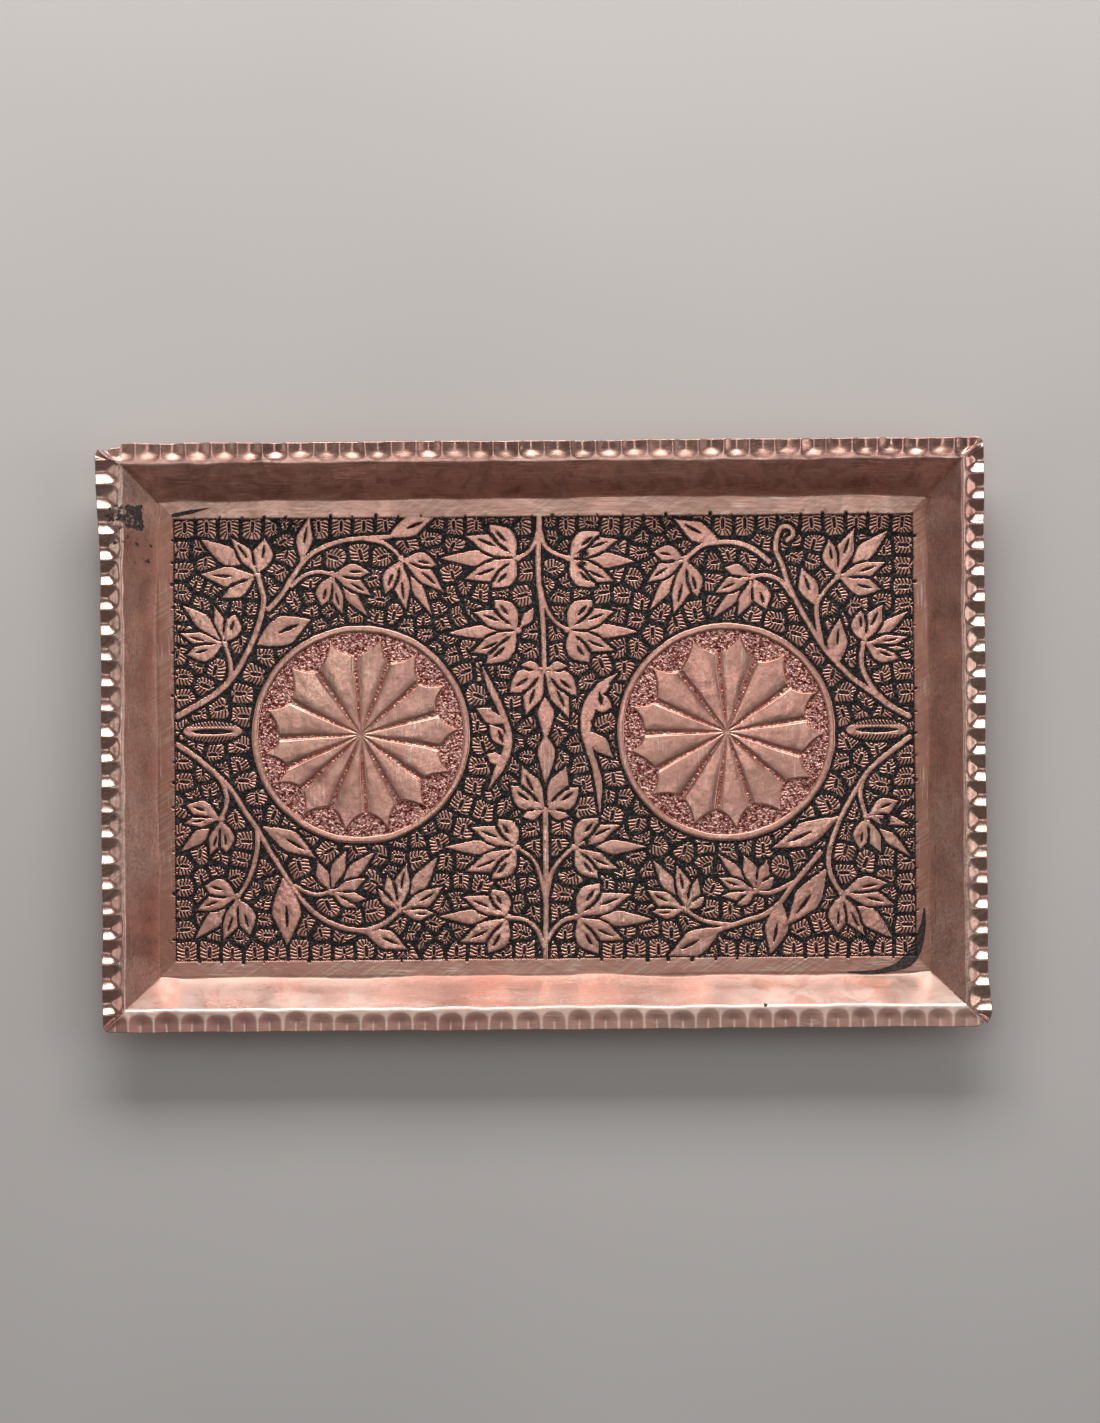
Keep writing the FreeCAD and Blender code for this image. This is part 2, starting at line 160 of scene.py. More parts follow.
SPRAYS = {
    "heart": [
        ((-10.6, 77.3), [(-23, 92, 3.5), (-33, 87, 3.1), (-44, 77.5, 3.1, LOZENGE),
            (-34, 68.5, 3.1), (-22, 64.5, 3.4)]),
        ((11.2, 77), [(25, 88.5, 3.5), (33, 85, 2.9), (40, 75.5, 3.1, LOZENGE), (31, 67, 2.9),
            (23, 64.5, 3.4)]),
        ((-10.5, 46), [(-21, 59.5, 3.3), (-30, 54, 2.8), (-41, 45, 2.6, LOZENGE), (-31, 36.5, 3.0),
            (-25, 31.5, 3.5), (-4, 56, 1.6, PLAIN)]),
        ((10.5, 46), [(21.5, 59, 3.6), (31, 54, 3.0), (41, 45, 2.8, LOZENGE), (31, 37, 2.7),
            (20, 32, 3.5)]),
        ((0.5, 29), [(-14.5, 19, 3.5), (-7.5, 9, 2.9), (11, 7.5, 2.8), (14.5, 17.5, 3.4),
            (-10, 31, 1.6, PLAIN), (10.5, 30.5, 1.6, PLAIN)]),
        ((0.5, -32), [(-9.5, -12.5, 3.0), (-14.5, -21, 3.4), (9.5, -13, 3.0, PLAIN), (15, -22, 3.4),
            (-10, -34.5, 1.7, PLAIN), (11, -34.5, 1.7, PLAIN)]),
        ((-11.5, -48), [(-20, -35.5, 3.2), (-32, -39, 2.7), (-43, -47.5, 2.8, LOZENGE),
            (-34.5, -58, 2.9), (-23, -61.5, 3.2)]),
        ((12.5, -48), [(23.5, -35.5, 3.4), (33, -38.5, 2.6), (44, -48, 2.8, LOZENGE),
            (32, -57.5, 2.4), (23, -61.5, 3.0)]),
        ((-15.5, -78), [(-23, -66, 3.0), (-35.5, -69, 2.7), (-45.5, -77.5, 2.8, LOZENGE),
            (-37, -88.5, 2.9), (-25, -93.5, 3.2)]),
        ((13.5, -78), [(24, -63.5, 3.4), (37.5, -68.5, 3.0), (46.5, -79.5, 3.0, LOZENGE),
            (34, -88, 2.9), (23, -94, 3.3)]),
    ],
    "back_left": [
        ((-137.5, 41), [(-156, 58, 2.3, PLAIN), (-142, 57.5, 1.7, PLAIN), (-133, 54, 2.9),
            (-157, 46, 2.1), (-154, 36.5, 3.0)]),
        ((-123, 70.5), [(-134.5, 87, 2.2), (-147.5, 86.5, 3.6, LOZENGE), (-148, 71.5, 3.0),
            (-139, 61, 2.4, PLAIN), (-120, 87, 3.0)]),
        ((-91, 71), [(-74.5, 71.5, 2.5), (-74, 61.5, 2.3), (-75.5, 52.5, 2.2, LOZENGE),
            (-86.5, 53.5, 2.0), (-95.5, 57, 2.7)]),
        ((-61, 77.5), [(-68, 62, 2.6), (-59, 55, 2.4), (-48, 53, 2.3, LOZENGE), (-42.5, 62.5, 2.5),
            (-45.5, 74.5, 2.7)]),
    ],
    "back_right": [
        ((138.5, 39), [(137.5, 53.5, 2.9), (147, 56, 2.8), (158, 53, 2.3, LOZENGE),
            (157.5, 42, 2.0), (157, 37, 1.4, PLAIN), (154, 32.5, 2.8)]),
        ((127.5, 68), [(124, 84.5, 2.7), (135, 89, 2.6), (149.5, 88, 3.3, LOZENGE),
            (148.5, 74.5, 2.6), (146.5, 62.5, 3.1)]),
        ((91, 68.5), [(78.5, 72.5, 2.0, PLAIN), (74.5, 61.5, 2.4), (73, 50.5, 2.2, LOZENGE),
            (84, 51, 2.0, PLAIN), (96.5, 54, 2.8)]),
        ((62, 76.5), [(67, 59.5, 2.7), (56.5, 52.5, 2.9), (46, 54, 2.5, LOZENGE), (45, 66, 2.4),
            (48, 79.5, 2.6)]),
    ],
    "front_left": [
        ((-139.5, -34.5), [(-155, -28.5, 2.8), (-155.5, -36.5, 2.0), (-157, -48.5, 2.6, LOZENGE),
            (-144.5, -50, 2.1), (-137.5, -49.5, 2.7)]),
        ((-132.5, -68), [(-147, -63.5, 3.1), (-150.5, -74, 2.5), (-151, -86, 3.0, LOZENGE),
            (-139, -87, 2.5), (-127.5, -85, 2.9)]),
        ((-92.5, -66.5), [(-98, -53, 1.9, PLAIN), (-85.5, -48.5, 2.1, PLAIN),
            (-73.5, -49.5, 2.7, LOZENGE), (-77, -60.5, 1.9, PLAIN), (-77, -69.5, 1.7, PLAIN),
            (-81, -73.5, 1.5, PLAIN)]),
        ((-63, -75), [(-72, -65, 1.6, PLAIN), (-68, -59, 2.0, PLAIN), (-59.5, -54.5, 2.5),
            (-46.5, -52, 3.2, LOZENGE), (-44, -64.5, 2.6), (-48, -76, 2.1)]),
    ],
    "front_right": [
        ((139, -35.5), [(153, -29, 2.6), (151, -38, 1.7, PLAIN), (158, -40, 1.4, PLAIN),
            (158, -53, 2.2, LOZENGE), (145.5, -51.5, 2.1, PLAIN), (136.5, -50, 2.7)]),
        ((128, -68.5), [(148, -64.5, 2.9), (151, -74, 2.7), (150, -88, 3.6, LOZENGE),
            (138, -87, 2.4), (126.5, -86, 3.0)]),
        ((91, -67.5), [(75, -51.5, 2.2, LOZENGE), (86, -52, 2.2, PLAIN), (96, -54, 1.9, PLAIN),
            (99, -61.5, 1.7, PLAIN), (75, -61.5, 2.1), (76.5, -69.5, 1.7, PLAIN),
            (82.5, -73.5, 1.6, PLAIN)]),
        ((61, -75.5), [(57, -56, 2.5), (66, -61.5, 1.9, PLAIN), (69, -69.5, 1.5, PLAIN),
            (47, -54, 2.7, LOZENGE), (44, -66.5, 2.5), (46, -76, 2.0)]),
    ],
}

# A single leaf is (base x, base y, tip x, tip y, half width, form).
SINGLES = {
    "heart": [(0.5, 17, 0.7, -2, 3.2, LOZENGE), (0.7, 1, 0.5, -20.5, 3.4, LOZENGE)],
    "back_left": [(-123, 41, -100, 51.5, 4.3), (-104, 77, -100.5, 96, 2.4),
        (-66, 87, -47, 95, 3.0)],
    "back_right": [(118.5, 56, 112, 72.5, 2.9), (127, 30, 128.5, 50.5, 3.0),
        (77, 83.5, 57, 94, 3.0)],
    "front_left": [(-113, -61, -111.5, -89.5, 4.2), (-121, -38.5, -98.5, -52, 3.1),
        (-77.5, -84, -59.5, -91.5, 2.8)],
    "front_right": [(126.5, -36, 98, -49, 3.5), (121, -59, 104, -82.5, 3.8),
        (101.5, -72, 97, -95, 3.4), (75, -83.5, 53, -95, 3.7)],
}

# A stem is a half width and the points it runs through.
STEMS = {
    "heart": [
        (1.0, [(-1.2, 97), (-1.4, 88), (-1.8, 78), (-1.6, 67), (-0.6, 58), (0.2, 46), (0.5, 28)]),
        (0.9, [(-1.4, 90), (-3, 84.5), (-6, 80), (-10.6, 77.3)]),
        (0.9, [(-0.8, 89), (1, 83), (5, 79.5), (11.2, 77)]),
        (0.8, [(-1.4, 66), (1.5, 56), (5, 50), (10.5, 46)]),
        (1.0, [(0.5, -32), (0.5, -60), (0.3, -84), (0.0, -97)]),
        (0.8, [(0.2, -70), (-2, -60), (-5, -53), (-11.5, -48)]),
        (0.9, [(0.8, -68), (3, -59), (7, -53), (12.5, -48)]),
        (0.9, [(-0.6, -91), (-3, -84), (-8, -79.5), (-15.5, -78)]),
        (0.9, [(0.8, -88), (4, -83), (8, -79.5), (13.5, -78)]),
    ],
    "back_left": [
        (1.1, [(-158, 10), (-149, 15), (-141, 20), (-134, 27), (-128, 37), (-124, 46), (-121.5, 54),
            (-120.5, 61), (-122, 67), (-123, 70.5)]),
        (0.9, [(-138, 22), (-135, 28), (-135.5, 35), (-137.5, 41)]),
        (1.0, [(-118.5, 56), (-113, 62), (-108, 70), (-102, 78), (-95, 82.5), (-86, 85.5),
            (-76, 86.5), (-66, 87)]),
        (0.8, [(-108.5, 66), (-103, 70.5), (-97, 72), (-91, 71)]),
        (0.8, [(-76, 86), (-69, 84.5), (-64, 81), (-61, 77.5)]),
    ],
    "back_right": [
        (1.0, [(158, 7.5), (150, 12), (142, 18), (134, 24), (127, 31), (121, 38), (115, 48),
            (110, 57), (106, 66), (103.5, 74), (101, 80), (101.5, 86), (104, 90), (107.5, 89.5),
            (108.5, 86.5), (106, 84)]),
        (1.0, [(149, 12.5), (143, 19), (138.5, 27), (137.5, 33), (138.5, 39)]),
        (0.9, [(120.5, 39), (119, 47), (118.5, 56), (122, 62), (127.5, 68)]),
        (0.9, [(108, 60), (103, 66.5), (97, 69), (91, 68.5)]),
        (1.0, [(98, 75), (92, 80), (85, 83), (77, 83.5), (69, 82), (62, 76.5)]),
    ],
    "front_left": [
        (1.0, [(-158, -2.5), (-150, -8), (-142, -15), (-135, -22), (-129.5, -31), (-124, -39),
            (-119, -48), (-114, -56), (-109, -64), (-103, -72), (-96, -78), (-87, -82), (-78, -83),
            (-70, -80.5), (-63, -75)]),
        (0.9, [(-142.5, -14), (-138.5, -20), (-137, -27), (-139.5, -34.5)]),
        (0.9, [(-124, -39), (-124, -47), (-126, -56), (-129, -63), (-132.5, -68)]),
        (0.8, [(-107.5, -64), (-103, -66.5), (-98, -67.5), (-92.5, -66.5)]),
        (0.8, [(-83, -82.5), (-80, -83.5), (-77.5, -84)]),
    ],
    "front_right": [
        (1.0, [(158, -1.5), (152, -6), (145, -11.5), (139, -17.5), (133.5, -26), (129, -34),
            (125.5, -42), (123, -50), (122.8, -58), (125, -64), (128, -68.5)]),
        (0.9, [(138.5, -18), (136.5, -25), (137.5, -31), (139, -35.5)]),
        (1.0, [(119, -51), (113, -58), (107, -65), (101.5, -72.5), (95, -77.5), (86, -80.5),
            (78, -83), (70, -86)]),
        (0.8, [(108, -63.5), (101, -67), (96, -68.5), (91, -67.5)]),
        (0.8, [(80, -82), (72, -81), (66, -79), (61, -75.5)]),
    ],
}

# A barbed crescent is its spine with half widths, then its barbs as single leaves.
CRESCENTS = [
    ([(32, 27, 0.3), (26, 22, 1.9), (20.5, 14, 3.1), (18.2, 4, 2.4), (19.5, -5, 1.6),
      (22, -13, 1.5), (23.6, -21, 1.6), (24, -33, 0.3)],
     [(21, 16, 29.5, 12, 2.6), (19, 2, 30, -9.5, 2.4), (22, 20, 29, 22, 1.8)],
     [(24.2, 19, 25.2, 13.5, 0.9), (20.5, 6.5, 23, 2, 0.8)]),
    ([(-26, 30, 0.4), (-23, 22, 1.5), (-18.5, 12, 1.5), (-15.2, 2, 1.4), (-16, -6, 2.0),
      (-19.5, -14, 2.0), (-24, -22.5, 0.3)],
     [(-17, 6, -29, 12.5, 2.4), (-16, -4, -23.5, 5.5, 2.2),
      (-17.5, -11, -25, -7.5, 1.8)],
     [(-23, 13.5, -19, 9.5, 0.7), (-19.5, 2.5, -17.5, -2.5, 0.7)]),
]

# Where the punch-marked black spilled or was smeared: points with half widths.
SPILLS = [
    [(163.8, -75.5, 0.4), (163.3, -82, 1.2), (161.6, -88.5, 2.1), (159.6, -93.6, 2.7),
     (156.2, -98.2, 2.7), (150.6, -101, 1.6), (143, -102.8, 1.1), (136.5, -103, 0.8),
     (128, -102.6, 0.2)],
    [(-159.6, 97.0, 0.9), (-151.6, 98.5, 0.9), (-143.5, 100.2, 0.2)],
]
SPOTS = [
    (-174.7, 83.9, 0.9), (-168.9, 83.6, 0.8), (-170.3, 76.7, 0.9), (-184, 84.2, 0.9),
    (-176.4, 108.9, 0.7), (-178.5, 86.5, 0.5), (-180.4, 84.6, 0.5), (-173.2, 78.2, 0.5),
    (-181.5, 99.0, 0.7), (94.5, -117.2, 1.1),
]

# Each rosette is its petal tips and, between them, its grooves, in degrees.
LEFT_ROSETTE = (
    (3, 30, 55, 78, 108, 135.5, 165, 191, 209, 234, 260.5, 285.5, 312, 337),
    (15, 41.5, 68.5, 94, 124, 154.5, 181.5, 203.5, 222.5, 247.5, 273, 298, 323, 350),
)
RIGHT_ROSETTE = (
    (23, 52.5, 82, 109.5, 139, 165, 191.5, 220, 250.5, 275.5, 304, 331, 358),
    (35.5, 67.5, 95.5, 127.5, 156.5, 180.5, 208, 234.5, 263, 289, 318, 342.5, 369),
)

# Long leaves with a fringe of cuts all round: middle, half length, half width.
FRINGED = [(-143.0, 3.2, 13.0, 4.6), (144.0, 1.8, 13.5, 4.6)]

# ---------------------------------------------------------------- the drawing grid

FINE = 0.25
FINE_REACH = 2.2              # fine lines run this far into the plain margin
COARSE_STEPS = 16
BEND_REACH = 2.6              # the margin's soft bend runs this far up the wall


def grid_lines(field, edge):
    count = ceil((field + FINE_REACH) / FINE)
    inner = np.arange(-count, count + 1) * FINE
    outer = np.linspace(inner[-1], edge, COARSE_STEPS + 1)[1:]
    return np.concatenate([-outer[::-1], inner, outer])


grid_x = grid_lines(FIELD_X, FLOOR_X + BEND_REACH)
grid_y = grid_lines(FIELD_Y, FLOOR_Y + BEND_REACH)
X, Y = np.meshgrid(grid_x.astype(np.float32), grid_y.astype(np.float32))
FAR = -9.0
PAD = 3.6                     # how far round a shape its distance is worked out


def window(low_x, high_x, low_y, high_y):
    rows = slice(*np.searchsorted(grid_y, (low_y, high_y)))
    cols = slice(*np.searchsorted(grid_x, (low_x, high_x)))
    return rows, cols


def smooth_path(points, per_span=5):
    """Points of a smooth curve through the given ones."""
    p = np.array(points, float)
    p = np.vstack([2 * p[0] - p[1], p, 2 * p[-1] - p[-2]])
    out = []
    for a, b, c, d in zip(p[:-3], p[1:-2], p[2:-1], p[3:]):
        for t in np.arange(per_span) / per_span:
            out.append(0.5 * (2 * b + (c - a) * t + (2 * a - 5 * b + 4 * c - d) * t ** 2
                              + (3 * b - a - 3 * c + d) * t ** 3))
    out.append(p[-2])
    return np.array(out)


def stroke_depth(x, y, points, widths, depth):
    """How deep each place lies in a stroke of changing half width, or in what was there before."""
    for (x0, y0), (x1, y1), w0, w1 in zip(points[:-1], points[1:], widths[:-1], widths[1:]):
        dx = x1 - x0
        dy = y1 - y0
        t = np.clip(((x - x0) * dx + (y - y0) * dy) / (dx * dx + dy * dy + 1e-9), 0, 1)
        depth = np.maximum(depth, w0 + (w1 - w0) * t - np.hypot(x - x0 - t * dx, y - y0 - t * dy))
    return depth


def local_stroke(points, widths):
    """The part of the grid round a stroke, and how deep its points lie in it."""
    points = np.asarray(points, float)
    widths = np.asarray(widths, float)
    reach = widths.max() + PAD
    low = points.min(0) - reach
    high = points.max(0) + reach
    where = window(low[0], high[0], low[1], high[1])
    nothing = np.full(X[where].shape, FAR, np.float32)
    return where, stroke_depth(X[where], Y[where], points, widths, nothing)


class Drawing:
    """Inside distance of the copper that stands up from the ground, and the motif it is part of."""

    def __init__(self):
        self.inside = np.full(X.shape, FAR, np.float32)
        self.cut = np.full(X.shape, FAR, np.float32)
        self.groove = np.zeros(X.shape, np.float32)
        self.motif = np.full(X.shape, -1, np.int16)

    def stroke(self, points, widths, motif):
        where, best = local_stroke(points, widths)
        mine = best > self.inside[where]
        self.motif[where][mine] = motif
        self.inside[where] = np.maximum(self.inside[where], best)

    def part(self, points, widths, node):
        """A thin cut where a new lobe would run into its neighbours, away from their node."""
        where, best = local_stroke(points, widths)
        there = self.inside[where]
        from_node = np.hypot(X[where] - node[0], Y[where] - node[1])
        line = 0.46 - 0.5 * np.abs(best - there) - 0.3 * np.maximum(6.0 - from_node, 0)
        line = np.where((best > -0.5) & (there > -0.5), line, FAR)
        self.cut[where] = np.maximum(self.cut[where], line)

    def slit(self, points, widths):
        where, best = local_stroke(points, widths)
        self.cut[where] = np.maximum(self.cut[where], best)


def blade_spine(base, tip, bow):
    """Points along a slightly bowed blade, base to tip."""
    base = np.array(base, float)
    tip = np.array(tip, float)
    along = tip - base
    side = np.array([-along[1], along[0]])
    middle = (base + tip) / 2 + side * bow
    t = np.linspace(0, 1, 13)[:, None]
    return base * (1 - t) ** 2 + middle * 2 * t * (1 - t) + tip * t ** 2


def draw_blade(drawing, base, tip, half_width, form, bow, motif, node=None):
    spine = blade_spine(base, tip, bow)
    t = np.linspace(0, 1, len(spine))
    if form == LOZENGE:
        widths = 1.2 * half_width * np.minimum(t / 0.36, (1 - t) / 0.64) ** 0.8
    else:
        widths = 1.55 * half_width * np.minimum((t / 0.48) ** 0.7, ((1 - t) / 0.52) ** 0.95)
        widths = np.maximum(widths, 0.8 * (1 - t) * (t < 0.4))
    if node is not None:
        drawing.part(spine, np.maximum(widths, 0.05), node)
    drawing.stroke(spine, np.maximum(widths, 0.05), motif)
    if form == SLIT:
        part = spine[5:10]
        shift = chance.uniform(-0.3, 0.3)
        gap = 0.12 + 0.13 * half_width
        drawing.slit(part + [0, shift], gap * np.sin(np.linspace(0.25, pi - 0.1, len(part))))


def draw_spray(drawing, node, blades, motif):
    centre = np.array(node, float)
    tips = np.array([(x, y) for x, y, half_width, form in blades], float)
    heading = (tips - centre).mean(0)
    for x, y, half_width, form in blades:
        along = np.array([x, y]) - centre
        length = hypot(*along)
        turn = heading[0] * along[1] - heading[1] * along[0]
        bow = 0.07 if turn > 0 else -0.07
        start = {LOZENGE: 0.30, PLAIN: 0.14}.get(form, min(2.0 / length, 0.16))
        if form == LOZENGE:
            bow = 0
        draw_blade(drawing, centre + along * start, (x, y), half_width, form, bow, motif, centre)
    drawing.stroke([centre, centre + heading * 0.08], [1.5, 0.9], motif)


def with_forms(leaves):
    return [leaf if isinstance(leaf[-1], str) else (*leaf, SLIT) for leaf in leaves]


def draw_leaf_work(drawing, motifs):
    for group, name in enumerate(motifs):
        for node, blades in SPRAYS[name]:
            draw_spray(drawing, node, with_forms(blades), group)
        for bx, by, tx, ty, half_width, form in with_forms(SINGLES[name]):
            draw_blade(drawing, (bx, by), (tx, ty), half_width, form, 0.05, group)
        for half_width, points in STEMS[name]:
            path = smooth_path(points)
            drawing.stroke(path, half_width * np.linspace(1.3, 1.1, len(path)), group)
    for middle_x, middle_y, half_length, half_width in FRINGED:
        group = 1 if middle_x < 0 else 2
        draw_fringed_leaf(drawing, middle_x, middle_y, half_length, half_width, group)
    for spine, barbs, holes in CRESCENTS:
        path = smooth_path(spine)
        drawing.stroke(path[:, :2], np.maximum(path[:, 2], 0.05), 0)
        for bx, by, tx, ty, half_width in barbs:
            draw_blade(drawing, (bx, by), (tx, ty), half_width, PLAIN, 0, 0)
        for x0, y0, x1, y1, gap in holes:
            middle = ((x0 + x1) / 2, (y0 + y1) / 2)
            drawing.slit([(x0, y0), middle, (x1, y1)], [0.1, gap, 0.1])


def draw_fringed_leaf(drawing, middle_x, middle_y, half_length, half_width, motif):
    """A lens with a long slit and short cuts slanting in from its rim."""
    where = window(middle_x - half_length - 2, middle_x + half_length + 2,
                   middle_y - half_width - 2, middle_y + half_width + 2)
    u = X[where] - middle_x
    v = Y[where] - middle_y
    lens = half_width * np.clip(1 - (u / half_length) ** 2, 0, 1) ** 0.6 - np.abs(v)
    lens = np.minimum(lens, half_length - np.abs(u))
    gap = np.clip(1 - (u / (0.68 * half_length)) ** 2, 0, 1) ** 0.7 - np.abs(v)
    gap = np.where(np.abs(u) < 0.68 * half_length, gap, -1.0)
    phase = (u + 0.6 * np.abs(v)) / HATCH_PITCH
    off = np.abs(phase - np.round(phase)) * HATCH_PITCH
    cut = HATCH_DEPTH * np.clip(1 - (off / HATCH_HALF) ** 2, 0, 1) * ease((np.abs(v) - 1.9) / 0.5)
    drawing.motif[where][lens > 0] = motif
    drawing.groove[where] = np.where(lens > 0, cut, drawing.groove[where])
    drawing.inside[where] = np.maximum(drawing.inside[where], lens)
    drawing.cut[where] = np.maximum(drawing.cut[where], gap)


# ---------------------------------------------------------------- hatched blocks

BLOCK_REACH = 4.7
SHARE_REACH = 9               # a block's claim on the room round it ends here
BLOCK_ROOM = 7                # and its own drawing here
SMALLEST_BLOCK = 0.9          # half of the narrowest that is cut
CHANNEL = 1.45                # black channel between two blocks
LEAF_CHANNEL = 1.1
EDGE_CHANNEL = 0.35
HATCH_PITCH = 1.5
HATCH_HALF = 0.42
HATCH_DEPTH = 0.62
LONG_ROW = 33
SHORT_ROW = 20
BLOCK_SHARE = 72.0            # square millimetres of room for each inner block
SPREAD_ROUNDS = 9
SPOT_STEP = 4                 # the blocks are spread over every fourth grid point
LONELY = 6.5                  # a spot farther than this from any block gets one of its own


def border_seeds():
    """Rows of blocks along the four edges, each with the way its slit opens."""
    seeds = []
    top = FIELD_Y - 4.4
    side = FIELD_X - 4.8
    for i in range(LONG_ROW):
        x = FIELD_SHIFT_X - side + i * 2 * side / (LONG_ROW - 1)
        seeds.append((x, FIELD_SHIFT_Y + top, pi / 2))
        seeds.append((x, FIELD_SHIFT_Y - top, -pi / 2))
    for i in range(1, SHORT_ROW):
        y = FIELD_SHIFT_Y - top + i * 2 * top / SHORT_ROW
        seeds.append((FIELD_SHIFT_X - side, y, pi))
        seeds.append((FIELD_SHIFT_X + side, y, 0))
    return seeds


def fill_seeds(free):
    """Border rows first, then blocks spread evenly over the room that is left."""

    def room_at(x, y):
        return free[np.searchsorted(grid_y, y), np.searchsorted(grid_x, x)]

    rows = [(x + chance.uniform(-0.3, 0.3), y, turn + chance.uniform(-0.1, 0.1))
            for x, y, turn in border_seeds() if room_at(x, y) > 2.2]
    fixed = np.array([(x, y) for x, y, turn in rows], np.float32)
    step = SPOT_STEP
    open_spots = free[::step, ::step] > SMALLEST_BLOCK
    spots = np.stack([X[::step, ::step][open_spots], Y[::step, ::step][open_spots]], 1)
    apart = np.abs(spots[:, None] - fixed[None]).max(2).min(1)
    loose_spots = spots[apart > 5.0]
    count = int(len(loose_spots) * (step * FINE) ** 2 / BLOCK_SHARE)
    moving = loose_spots[chance.permutation(len(loose_spots))[:count]]
    for _ in range(SPREAD_ROUNDS):
        seeds = np.concatenate([fixed, moving])
        owner = np.argmin(((spots[:, None] - seeds[None]) ** 2).sum(2), 1)
        for i in range(len(moving)):
            own = spots[owner == len(fixed) + i]
            if len(own):
                moving[i] = own.mean(0)
    seeds = np.concatenate([fixed, moving])
    room = free[::step, ::step][open_spots]
    gap = np.sqrt(((spots[:, None] - seeds[None]) ** 2).sum(2).min(1)) * (room > 1.9)
    while gap.max() > LONELY:
        spot = spots[gap.argmax()]
        moving = np.concatenate([moving, spot[None]])
        gap = np.minimum(gap, np.hypot(spots[:, 0] - spot[0], spots[:, 1] - spot[1]))
    return rows + [(x, y, chance.integers(4) * pi / 2 + chance.uniform(-0.5, 0.5))
                   for x, y in moving]


def turned_places(middle_x, middle_y, turn, reach):
    """The part of the grid round a block, with its places along and across the slit."""
    where = window(middle_x - reach, middle_x + reach, middle_y - reach, middle_y + reach)
    dx = X[where] - middle_x
    dy = Y[where] - middle_y
    return where, dx * cos(turn) + dy * sin(turn), dy * cos(turn) - dx * sin(turn)


def draw_blocks(drawing, free, seeds, first_motif):
    """Each block takes its share of the room round its seed, less the channels."""
    nearest = np.full(X.shape, 99, np.float32)
    second = np.full(X.shape, 99, np.float32)
    holder = np.full(X.shape, -1, np.int32)
    for i, (sx, sy, turn) in enumerate(seeds):
        where, u, v = turned_places(sx, sy, turn, SHARE_REACH)
        d = squarish(u, v, 4)
        closer = d < nearest[where]
        second[where] = np.where(closer, nearest[where], np.minimum(second[where], d))
        holder[where] = np.where(closer, i, holder[where])
        nearest[where] = np.where(closer, d, nearest[where])
    for i, (sx, sy, turn) in enumerate(seeds):
        where, u, v = turned_places(sx, sy, turn, BLOCK_ROOM)
        mine = holder[where] == i
        far_out = squarish(u, v, 5)
        share = (second[where] - nearest[where]) / 2 - CHANNEL / 2
        inside = np.minimum(np.minimum(share, free[where] - LEAF_CHANNEL), BLOCK_REACH - far_out)
        inside = np.where(mine, inside, FAR)
        if inside.max() < SMALLEST_BLOCK:
            continue
        size = min(inside.max() + 0.8, 3.9)
        length = 0.45 * size
        start = -0.25 * size
        end = start + 2 * length
        middle = np.clip(u, start, end)
        from_slit = np.hypot(u - middle, v)
        taper = 1 - 0.5 * ((middle - start) / (end - start) - 0.6) ** 2
        slit = (0.20 + 0.11 * size) * taper - from_slit
        fan = pi / 2 - np.arctan2(np.abs(v), np.abs(u - middle) + 1e-6)
        phase = np.sign(u - middle) * fan * 2.2 + middle + 0.35 * np.abs(v)
        phase = phase / HATCH_PITCH + 0.37 * i
        off = np.abs(phase - np.round(phase)) * HATCH_PITCH
        spread = np.where(fan > 0.01, np.maximum(from_slit, 0.3) / 2.2, 1)
        cut = HATCH_DEPTH * np.clip(1 - (off * spread / HATCH_HALF) ** 2, 0, 1)
        cut *= ease((from_slit - 0.26 * size) / 0.5)
        carved = np.minimum(inside, -slit)
        quadrant = (0 if sy > 0 else 2) + (0 if sx < 0 else 1)
        better = carved > drawing.inside[where]
        drawing.motif[where][better] = first_motif + quadrant
        drawing.groove[where][better] = cut[better]
        drawing.inside[where] = np.maximum(drawing.inside[where], carved)


# ---------------------------------------------------------------- heights


def foot_wave(x, y):
    """How far the wall foot wanders inwards at a place on the foot line."""
    long_side = np.where(y < 0, FRONT_FOOT_OUT, BACK_FOOT_OUT)
    short_side = np.where(x < 0, LEFT_FOOT_OUT, 0.0)
    steeper = np.where(np.abs(y) > FLOOR_Y - 0.01, long_side, short_side)
    return 0.85 * swell.at(x, y, 27.0) + 0.35 * wobble.at(x, y, 9.0) - steeper


def field_edge(x, y):
    """Distance outside the chased field, whose rim is a row of punch dots."""
    out_x = np.abs(x - FIELD_SHIFT_X) - FIELD_X
    out_y = np.abs(y - FIELD_SHIFT_Y) - FIELD_Y
    along = np.where(out_x > out_y, y, x)
    edge = np.maximum(out_x, out_y) + 0.15 * wobble.at(x, y, 6.0) + 0.08 * grain.at(x, y, 0.8)
    return edge + 0.14 * np.cos(2 * pi * along / 1.1)


def channel_ends():
    """Depth inside the short black ticks where channels between edge blocks run into the margin."""
    ticks = np.full(X.shape, FAR, np.float32)
    dice = np.random.default_rng(SEED + 3)
    for vertical, count, half, start in (
        (True, LONG_ROW, FIELD_X, FIELD_Y),
        (False, SHORT_ROW, FIELD_Y, FIELD_X),
    ):
        for i in range(count - 1):
            for side in (-1, 1):
                at = -half + (i + 1) * 2 * half / count + dice.uniform(-0.8, 0.8)
                out = side * (start + dice.uniform(-0.4, 0.7))
                size = dice.uniform(0.1, 0.85)
                x, y = (at, out) if vertical else (out, at)
                x += FIELD_SHIFT_X
                y += FIELD_SHIFT_Y
                where = window(x - 3, x + 3, y - 3, y + 3)
                depth = size - np.hypot((X[where] - x) * (1 if vertical else 0.7),
                                        (Y[where] - y) * (0.7 if vertical else 1))
                ticks[where] = np.maximum(ticks[where], depth)
    return ticks


